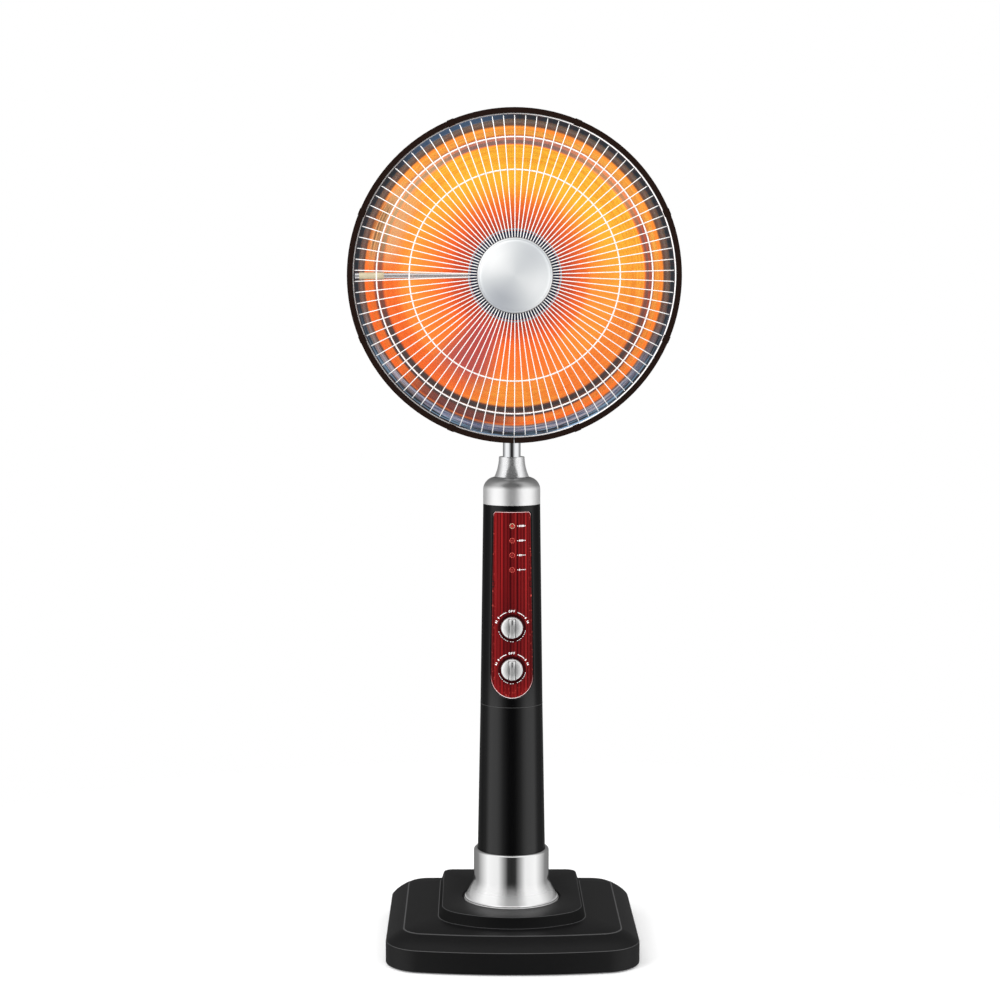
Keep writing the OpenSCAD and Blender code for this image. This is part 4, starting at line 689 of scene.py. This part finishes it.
def piece(name, shape, body, look, replaces=(), sharp=30, tags=None, extra=()):
    """A mesh in the row frame that rides on a body and may stand for CAD nodes.
    Faces tagged 1, 2 ... take the first, second ... extra look."""
    points, faces = shape
    mesh = bpy.data.meshes.new(name)
    mesh.from_pydata([tuple(p) for p in points], [], faces)
    for material in (look, *extra):
        mesh.materials.append(materials[material])
    if tags:
        mesh.polygons.foreach_set("material_index", tags)
    b = bmesh.new()
    b.from_mesh(mesh)
    bmesh.ops.remove_doubles(b, verts=b.verts, dist=SAME_POINT)
    bmesh.ops.dissolve_degenerate(b, edges=b.edges, dist=NO_LENGTH)
    bmesh.ops.recalc_face_normals(b, faces=b.faces)
    b.to_mesh(mesh)
    b.free()
    mesh.shade_smooth()
    mesh.set_sharp_from_angle(angle=radians(sharp))
    o = bpy.data.objects.new(name, mesh)
    bpy.context.scene.collection.objects.link(o)
    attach(o, body)
    if replaces:
        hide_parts(*replaces)


def spaced(start, end, steps):
    """Evenly spaced values from start to end, both included."""
    return [start + (end - start) * i / steps for i in range(steps + 1)]


def between(a, b, count):
    """Points evenly spaced on the line from a to b, without its ends."""
    return list(zip(spaced(a[0], b[0], count + 1), spaced(a[1], b[1], count + 1)))[1:-1]


def arc(x, y, r, start, end, steps):
    """Points of an arc round (x, y), in degrees."""
    return [(x + r * cos(radians(a)), y + r * sin(radians(a))) for a in spaced(start, end, steps)]


def circle(r, h, place, steps):
    turns = [2 * pi * k / steps for k in range(steps)]
    return [place(r * cos(t), r * sin(t), h) for t in turns]


def joined(shapes):
    """Several (points, faces) shapes as one."""
    points, faces = [], []
    for some_points, some_faces in shapes:
        start = len(points)
        points += some_points
        faces += [tuple(i + start for i in f) for f in some_faces]
    return points, faces


def skin(rings, closed=False, cap=False):
    """Quads between rings of equally many points; closed joins the last ring to the first."""
    n = len(rings[0])
    points = [p for r in rings for p in r]
    faces = []
    for i in range(len(rings) if closed else len(rings) - 1):
        a, b = i * n, ((i + 1) % len(rings)) * n
        for k in range(n):
            k2 = (k + 1) % n
            faces.append((a + k, a + k2, b + k2, b + k))
    if cap:
        faces.append(tuple(range(n))[::-1])
        faces.append(tuple(range((len(rings) - 1) * n, len(rings) * n)))
    return points, faces


def lathe(profile, place, steps):
    """Solid of revolution of a closed (radius, height) profile."""
    return skin([circle(r, h, place, steps) for r, h in profile], closed=True)


def soft_line(corners, steps=5):
    """Open line through (x, y, radius) corners, each rounded by an arc; radius 0 keeps it sharp."""
    line = []
    for i, (x, y, radius) in enumerate(corners):
        if radius == 0:
            line.append((x, y))
            continue
        corner = Vector((x, y))
        to_last = Vector(corners[i - 1][:2]) - corner
        to_next = Vector(corners[i + 1][:2]) - corner
        half = to_last.angle(to_next) / 2
        back = min(radius / tan(half), to_last.length * 0.49, to_next.length * 0.49)
        to_last.normalize()
        to_next.normalize()
        middle = corner + (to_last + to_next).normalized() * (back / cos(half))
        start = corner + to_last * back - middle
        end = corner + to_next * back - middle
        sweep = copysign(start.angle(end), start.x * end.y - start.y * end.x)
        for t in spaced(0, sweep, steps):
            line.append((middle.x + start.x * cos(t) - start.y * sin(t),
                         middle.y + start.x * sin(t) + start.y * cos(t)))
    return line


def tube(path, radius, sides=12, closed=False):
    """Round wire of that radius in metres along points; its section doesn't twist along the path."""
    n = len(path)
    turns = [2 * pi * k / sides for k in range(sides)]
    rings = []
    normal = None
    for i, p in enumerate(path):
        if closed:
            tangent = (path[(i + 1) % n] - path[i - 1]).normalized()
        else:
            tangent = (path[min(i + 1, n - 1)] - path[max(i - 1, 0)]).normalized()
        if normal is None:
            helper = Vector((0, 0, 1)) if abs(tangent.z) < 0.9 else Vector((1, 0, 0))
            normal = tangent.cross(helper).normalized()
        normal = (normal - tangent * normal.dot(tangent)).normalized()
        side = tangent.cross(normal)
        rings.append([p + normal * (radius * cos(t)) + side * (radius * sin(t)) for t in turns])
    return skin(rings, closed=closed, cap=not closed)


# ---------------------------------------------------------------- base
def bowed_plan(width, front, back, front_r, back_r, bow_r, inset):
    """Rounded outline with a bowed front, drawn in by inset; every outline has the same number of points."""
    bow_y = bow_r - front
    corner_x = width / 2 - front_r
    bow_a = degrees(asin(corner_x / (bow_r - front_r)))
    corner_y = bow_y - (bow_r - front_r) * cos(radians(bow_a))
    r = front_r - inset
    back_x, back_y = width / 2 - back_r, back - back_r
    arcs = [
        arc(corner_x, corner_y, r, bow_a - 90, 0, 14),
        arc(back_x, back_y, back_r - inset, 0, 90, 14),
        arc(-back_x, back_y, back_r - inset, 90, 180, 14),
        arc(-corner_x, corner_y, r, 180, 270 - bow_a, 14),
        arc(0, bow_y, bow_r - inset, 270 - bow_a * 0.9, 270 + bow_a * 0.9, 28),
    ]
    points = []
    for some, following in zip(arcs[:3], arcs[1:4]):
        points += some + between(some[-1], following[0], 12)
    return points + arcs[3] + arcs[4]


def plan_ring(plan, inset, z):
    return [column_point(x, y, z) for x, y in bowed_plan(*plan, inset)]


def round_ring(r, z):
    """Circle whose points lie at the same bearings as the tier's outline."""
    outline = bowed_plan(*TIER_PLAN, 0)
    return [column_point(r * x / hypot(x, y), r * y / hypot(x, y), z) for x, y in outline]


# rows of the shell, each with how far its outline is drawn in, or its radius, and its height
wall = [(1.0, BASE_RIM_Z), (0.3, 1.3), (0, 2.2), (0, 25.4), (0.05, 26.1), (0.35, 26.8), (0.9, 27.3)]
shoulder = [(4.4, 31.1), (10.1, 35.5), (16.2, 39.2), (21.2, 41.3), (21.9, 41.7), (22.9, BASE_TOP_Z)]
tier = [(-5.6, BASE_TOP_Z), (-4.6, 42.2), (-4.0, 43.0),
        (-0.7, 53.6), (-0.3, 54.5), (0.2, 54.9), (1.4, TIER_TOP_Z)]
recess = [(62.9, TIER_TOP_Z), (62.2, 54.7), (RECESS_R, 54.0), (RECESS_R, 51.9), (61.6, RECESS_Z)]
wire_hole = [(30, RECESS_Z), (30, 48.5)]
tier_inside = [(4, 48.5), (3, 38)]
base_inside = [(25, 39), (3, 25.5), (3, BASE_RIM_Z)]
base_rows = [plan_ring(BASE_PLAN, *row) for row in wall + shoulder]
base_rows += [plan_ring(TIER_PLAN, *row) for row in tier]
base_rows += [round_ring(*row) for row in recess + wire_hole]
base_rows += [plan_ring(TIER_PLAN, *row) for row in tier_inside]
base_rows += [plan_ring(BASE_PLAN, *row) for row in base_inside]
# tag of each row's faces: 1 for thin painted highlights where the light catches the edges, 2 for painted
# shade on the tier's wall
row_tags = {5: 1, 10: 1, 11: 1, 13: 1, 14: 2, 15: 2, 16: 2, 17: 1}
base_tags = [row_tags.get(row, 0) for row in range(len(base_rows)) for _ in base_rows[0]]
piece("base_housing", skin(base_rows, closed=True), "stand", "base_plastic", ["base_shell"],
      sharp=50, tags=base_tags, extra=("painted_edge_highlight", "wall_shade"))


# ---------------------------------------------------------------- collar, column and tube
def ring_line(name, r, z, wire, look, steps=120):
    """Thin line round the column."""
    shape = tube(circle(r, z, column_point, steps), wire * MM, 8, closed=True)
    piece(name, shape, "stand", look)


collar = [(COLLAR_FOOT_R - 0.3, RECESS_Z), (COLLAR_FOOT_R, RECESS_Z + 0.3), (COLLAR_FOOT_R, RECESS_Z + 2.7)]
collar += arc(COLLAR_R + FLARE_R, FLARE_TOP_Z, FLARE_R, 232, 180, 24)
collar += [(COLLAR_R, z) for z in (86, 93, 100, 107)]
collar += arc(COLLAR_R - COLLAR_LIP_R, COLLAR_TOP_Z - COLLAR_LIP_R, COLLAR_LIP_R, 0, 105, 15)
collar += [(42.55, 116.0), (42.55, 112.5), (COLLAR_R - COLLAR_WALL, 111.5),
           (COLLAR_R - COLLAR_WALL, FLARE_TOP_Z), (COLLAR_FOOT_R - COLLAR_WALL, 56),
           (COLLAR_FOOT_R - COLLAR_WALL, RECESS_Z)]
piece("collar", lathe(collar, column_point, 160), "stand", "collar_chrome", ["base_collar"],
      sharp=40)
# dull seam where the collar's foot is crimped
ring_line("collar_foot_seam", COLLAR_FOOT_R - 0.5, RECESS_Z + 3.8, 0.35, "seam_dark", 160)

cap = [(HOUSING_TOP_R - 0.3, HOUSING_TOP_Z), (HOUSING_TOP_R, HOUSING_TOP_Z + 0.3)]
cap += [(HOUSING_TOP_R, z) for z in (555, 561, CAP_SKIRT_Z)]
cap += arc(HOUSING_TOP_R - CAP_SHOULDER_R, CAP_SKIRT_Z, CAP_SHOULDER_R, 4, 80, 19)
cap += [(21.4, CAP_TOP_Z), (14.5, CAP_TOP_Z), (14.3, 582.4), (14.3, 580.6), (20.0, 580.6), (33.0, 566),
        (33.5, HOUSING_TOP_Z)]
piece("cap", lathe(cap, column_point, 160), "stand", "cap_chrome", ["dome_cap"], sharp=40)

# painted highlight along the edge where the column meets the housing, and a dark line of painted shade in
# the gap under the nut
ring_line("housing_seam", SEAM_R - 0.08, SEAM_Z, 0.28, "painted_edge_highlight")
ring_line("nut_foot_seam", 16.0, NUT_Z, 0.35, "seam_dark")

nut = [(21.2, NUT_Z), (21.45, NUT_Z + 0.3)]
nut += [(NUT_TOP_R + NUT_HOLLOW_R - sqrt(NUT_HOLLOW_R ** 2 - (NUT_TOP_Z - z) ** 2), z)
        for z in (584.5, 587, 590, 593, 596, 599, 602, 605, 607)]
nut += [(15.92, 607.5), (15.6, NUT_TOP_Z), (11.6, NUT_TOP_Z), (11.3, 607.7), (11.3, 600), (14.05, 596),
        (14.05, NUT_Z)]
piece("lock_nut_skin", lathe(nut, column_point, 128), "lock_nut", "nut_chrome", ["height_lock_nut"],
      sharp=40)

pole = [(TUBE_R, z) for z in (TUBE_FOOT_Z, 500, 620, TUBE_TOP_Z - 0.4)]
pole += [(TUBE_R - 0.4, TUBE_TOP_Z), (TUBE_R - TUBE_WALL, TUBE_TOP_Z), (TUBE_R - TUBE_WALL, TUBE_FOOT_Z)]
piece("pole", lathe(pole, column_point, 96), "pole", "tube_chrome", ["pole_tube"], sharp=40)


# ---------------------------------------------------------------- marks on the panel
def ribbon(line, width, lift=0.06, thick=0.3):
    """Flat printed stroke of that width along (x, z) points on the panel."""
    points, faces = [], []
    n = len(line)
    for i, (x, z) in enumerate(line):
        ax, az = line[max(i - 1, 0)]
        bx, bz = line[min(i + 1, n - 1)]
        d = hypot(bx - ax, bz - az)
        nx, nz = -(bz - az) / d * width / 2, (bx - ax) / d * width / 2
        for side in (1, -1):
            for up in (lift, lift - thick):
                points.append(panel_point(x + side * nx, z + side * nz, up))
        if i:
            a, b = (i - 1) * 4, i * 4
            faces += [(a, b, b + 2, a + 2), (a + 1, a + 3, b + 3, b + 1),
                      (a, a + 1, b + 1, b), (a + 2, b + 2, b + 3, a + 3)]
    faces += [(0, 2, 3, 1), (n * 4 - 4, n * 4 - 3, n * 4 - 1, n * 4 - 2)]
    return points, faces


def around(z, r, start, end):
    """Points of an arc round a knob or a lamp, in degrees clockwise from its top."""
    steps = max(1, int(abs(end - start) / 4.0))
    return [(r * sin(radians(a)), z + r * cos(radians(a))) for a in spaced(start, end, steps)]


def letter_o(x, z, w, h):
    return [[(x + w / 2 * cos(radians(a)), z + h / 2 * sin(radians(a))) for a in range(0, 361, 30)]]


def letter_f(x, z, w, h):
    left = x - w / 2
    return [[(left, z - h / 2), (left, z), (left, z + h / 2)],
            [(left, z + h / 2), (x, z + h / 2), (x + w / 2, z + h / 2)],
            [(left, z + 0.05), (x, z + 0.05), (x + w / 3, z + 0.05)]]


def knob_marks(z):
    """An arc at each side with a bar for each step at its end, OFF above, dashes round the lower half."""
    marks = []
    for side in (-1, 1):
        marks.append(ribbon(around(z, 20.4, side * 20, side * 47), 0.62))
        for bearing, width in ((54, 1.3), (67, 0.9), (73, 1.1)):
            a = radians(side * bearing)
            marks.append(ribbon([(r * sin(a), z + r * cos(a)) for r in (19.5, 20.6, 21.7)], width))
    off_z, letter_h = z + 20.8, 2.5
    off = (letter_o(-3.1, off_z, 1.7, letter_h) + letter_f(0, off_z, 1.5, letter_h)
           + letter_f(2.9, off_z, 1.5, letter_h))
    marks += [ribbon(stroke, 0.5) for stroke in off]
    for a in (104, 112, 120, 128, 140, 148, 156, 176, 186, 200, 208, 216, 226, 234, 242, 252):
        marks.append(ribbon(around(z, 16.95, a - 2.2, a + 2.2), 0.55))
    return marks


def level_marks(level, z):
    """Beside a lamp: a dash, then five bars of which the first ones are tall."""
    marks = [ribbon([(6.2, z), (7.0, z), (7.8, z)], 0.6)]
    for bar in range(5):
        x = 9.2 + 1.7 * bar
        half = 1.15 if bar <= level else 0.45
        marks.append(ribbon([(x, z - half), (x, z), (x, z + half)], 0.95))
    return marks


def ring_of_dots(z, width):
    return [ribbon(around(z, 2.9, a - 10, a + 10), width) for a in range(0, 360, 40)]


marks = [m for z in KNOBS.values() for m in knob_marks(z)]
marks += [m for level, z in enumerate(LAMPS) for m in level_marks(level, z)]
piece("panel_marks", joined(marks), "stand", "white_print")
unlit_dots = [dot for z in LAMPS[:3] for dot in ring_of_dots(z, 0.75)]
piece("lamp_rings", joined(unlit_dots), "stand", "lamp_ring")
piece("lamp_ring_lit", joined(ring_of_dots(LAMPS[3], 0.9)), "stand", "lamp_glow")


# ---------------------------------------------------------------- panel's edges
def panel_outline(grow):
    """Outline of the panel, grown by so much, clockwise from the left end of its top edge."""
    foot_r, top_half = PANEL_W / 2 + grow, PANEL_TOP_W / 2 + grow
    top, cut = PANEL_TOP_Z + grow, 2.2
    middle_z = PANEL_FOOT_Z + PANEL_W / 2
    inner = PANEL_TOP_W / 2 - 2
    line = [(cut - top_half, top)] + between((-inner, top), (inner, top), 9)
    line += [(top_half - cut, top), (top_half, top - cut)]
    line += between((top_half, PANEL_TOP_Z - 2), (foot_r, middle_z), 24)
    line += arc(0, middle_z, foot_r, 0, -180, 30)
    line += between((-foot_r, middle_z), (-top_half, PANEL_TOP_Z - 2), 24)
    return line + [(-top_half, top - cut)]


def panel_line(name, grow, lift, wire, sides, look):
    """Thin line round the panel."""
    path = [panel_point(x, z, lift) for x, z in panel_outline(grow)]
    piece(name, tube(path, wire * MM, sides, closed=True), "stand", look, sharp=60)


# raised black lip of the housing round the panel, and inside it the panel's edge with a painted highlight at
# its top and foot
panel_line("panel_lip", 1.3, -0.75, 0.75, 10, "gloss_black")
panel_line("panel_edge_highlight", -0.25, -0.12, 0.28, 8, "panel_edge")

# clip notches at both sides, half way up
notches = []
for side in (-1, 1):
    for z in (449.0, 456.0):
        notches.append(ribbon([(side * x, z) for x in (22.4, 23.4, 24.3)], 1.2, 0.05))
    notches.append(ribbon([(side * 22.4, z) for z in (449.0, 452.5, 456.0)], 0.5, 0.05))
piece("panel_notches", joined(notches), "stand", "seam_dark")

# ---------------------------------------------------------------- knobs
GRIP_HALF, GRIP_TOP, GRIP_FALL = 11.6, 13.3, 1.1  # half length, height in the middle, fall to its ends
GRIP_ROWS = 24
FLANKS = (1, 2, 9, 10)  # faces of each row that stand in shade


def grip_section(t):
    """Section across the grip at the share t of its half length: waisted, with hollow flanks."""
    wide = 4.0 + 0.9 * abs(t) ** 1.8
    high = GRIP_TOP - GRIP_FALL * t * t
    if abs(t) > 0.97:
        wide, high = wide * 0.85, high - 0.8
    half = [(wide + 0.4, 5.4), (wide, 6.9), (wide - 0.5, 7.6), (wide - 0.9, high - 1.6),
            (wide - 1.2, high - 0.6), (wide * 0.5, high)]
    return [(-x, h) for x, h in half] + [(0, high - 0.45)] + half[::-1]


def knob(name, z):
    """Spun silver skirt with a grip bar and a dark pointer line."""
    back = housing_radius(z) + PANEL_PROUD - WELL_DEPTH + 0.3

    def place(x, y, h):
        return Vector((x, COLUMN_Y - back - h, z + y)) * MM

    skirt = [(r, 7.3 - 0.017 * r * r) for r in spaced(0.01, 11.61, 12)]
    skirt += [(12.4, 4.7), (12.9, 4.1), (13.3, 2.4), (KNOB_R, 1.2), (13.3, 0.6), (12.6, 0.5), (0.01, 0.5)]
    piece(name + "_skin", lathe(skirt, place, 96), name, "knob_plastic", [name], sharp=38)
    rings = [[place(x, GRIP_HALF * t, h) for x, h in grip_section(t)] for t in spaced(-1, 1, GRIP_ROWS)]
    grip = skin(rings, cap=True)
    n = len(rings[0])
    tags = [1 if k < GRIP_ROWS * n and k % n in FLANKS else 0 for k in range(len(grip[1]))]
    piece(name + "_grip", grip, name, "knob_plastic", sharp=38, tags=tags,
          extra=("knob_shade",))
    line = [place(0.0, y, GRIP_TOP - 0.3 - GRIP_FALL * (y / GRIP_HALF) ** 2) for y in (5.0, 7.0, 9.0, 11.0)]
    piece(name + "_pointer", tube(line, 0.5 * MM, 8), name, "seam_dark")


for knob_name, knob_z in KNOBS.items():
    knob(knob_name, knob_z)

# ---------------------------------------------------------------- head
DISH_STEPS = 240
bead_foot_u = dish_u(BOWL_R)
front = [(r, dish_u(r)) for r in spaced(16, 153, 46)]
# bead, outer band, steep edge and flange
front += soft_line([
    (153.6, dish_u(153.6), 0), (155.4, bead_foot_u + 2.2, 0.8), (159.3, bead_foot_u + 3.1, 1.2),
    (162, dish_u(162) + 0.5, 1.2), (171, dish_u(171), 1.0), (174.6, 147.6, 2.0), (179.5, 158, 1.5),
    (181.2, 162.6, 0.8), (189.4, 162.8, 0), (DISH_R, 162.4, 0),
])
back = [(r, u - DISH_SHEET) for r, u in reversed(front)]
back_tags = [0] * (len(front) * DISH_STEPS) + [1] * (len(back) * DISH_STEPS)
piece("dish", lathe(front + back, head_point, DISH_STEPS), "head", "reflector_metal", ["reflector"],
      sharp=50, tags=back_tags, extra=("dish_back",))

# radial wires: flat over the dome, then bent back to the rim
bend_start = asin(BEND_START_R / DOME_R)
spoke = [(r, guard_u(r)) for r in spaced(33, BEND_START_R, 14)]
for a in spaced(bend_start, radians(BEND_END), 8)[1:]:
    spoke.append((BEND_START_R + BEND_R * (sin(a) - sin(bend_start)),
                  guard_u(BEND_START_R) - BEND_R * (cos(bend_start) - cos(a))))
wires = []
for i in range(SPOKES):
    a = radians((i + 0.5) * 360 / SPOKES)
    wires.append(tube([head_point(r * cos(a), r * sin(a), u) for r, u in spoke], SPOKE_R * MM, 8))
piece("guard_wires", joined(wires), "head", "chrome_wire", ["guard_spokes"], sharp=60)


def hoop(r, u, steps=180):
    return tube(circle(r, u, head_point, steps), RING_R * MM, closed=True)


spoke_end_r, spoke_end_u = spoke[-1]
hoops = [hoop(r, guard_u(r) - RING_DROP) for r in (34.5, 52.7, 121.0, 159.0)]
piece("guard_hoops", joined([hoops[0]] + hoops[2:]), "head", "chrome_wire", ["guard_rings"],
      sharp=60)
piece("guard_plate_hoop", hoops[1], "head", "shaded_wire", sharp=60)
piece("guard_rim_hoop", hoop(spoke_end_r + RING_DROP, spoke_end_u, 240), "head", "rim_wire",
      sharp=60)


# hub cap: gently crowned disc with a fine groove, a rolled edge and a bare middle, on a short stem
def crown(r, lift=0.0):
    edge_u = guard_u(HUB_CAP_R) + CAD_SPOKE_R + HUB_CAP_SEAT
    return edge_u + HUB_CAP_CROWN - CROWN_R + sqrt(CROWN_R * CROWN_R - r * r) + lift


STEM_R, STEM_FOOT_U = 8, 199.05
hub = [(r, crown(r, 1.2)) for r in [0.01] + spaced(3, 39.6, 18)]
hub += [(r, crown(r, lift)) for r, lift in (
    (40.0, 0.9), (40.5, 0.75), (41.0, 0.95), (41.6, 1.25), (42.6, 1.15), (43.3, 0.7),
    (HUB_CAP_R, 0.2), (43.2, -0.1), (20, 0), (0.01, 0))]
stem = [(0.01, STEM_FOOT_U), (STEM_R, STEM_FOOT_U), (STEM_R, crown(STEM_R, 0.3)), (0.01, crown(0, 0.3))]
piece("hub_badge", joined([lathe(hub, head_point, 160), lathe(stem, head_point, 48)]), "head", "cap_metal",
      ["hub_cap"], sharp=40)

# wound heating coil, as a fine unbroken helix
TURN_STEPS = 20
helix = []
for t in spaced(0, COIL_TURNS, COIL_TURNS * TURN_STEPS):
    u = COIL_START_U + COIL_LENGTH * t / COIL_TURNS
    helix.append(head_point(COIL_R * cos(2 * pi * t), COIL_R * sin(2 * pi * t), u))
piece("glowing_coil", tube(helix, COIL_WIRE_R * MM, 8), "head", "coil_metal", ["element_coil"],
      sharp=60)

# straight lead tube across the dish
(start_x, start_u), (end_x, end_u) = LEAD_START, LEAD_END
slope = (end_u - start_u) / (end_x - start_x)
lead = [head_point(x, 0, start_u + (x - start_x) * slope) for x in (start_x, -40, -80, -120, -160, end_x)]
piece("lead_tube", tube(lead, LEAD_R * MM, 24), "head", "lead_chrome", ["conduit_tube"], sharp=60)
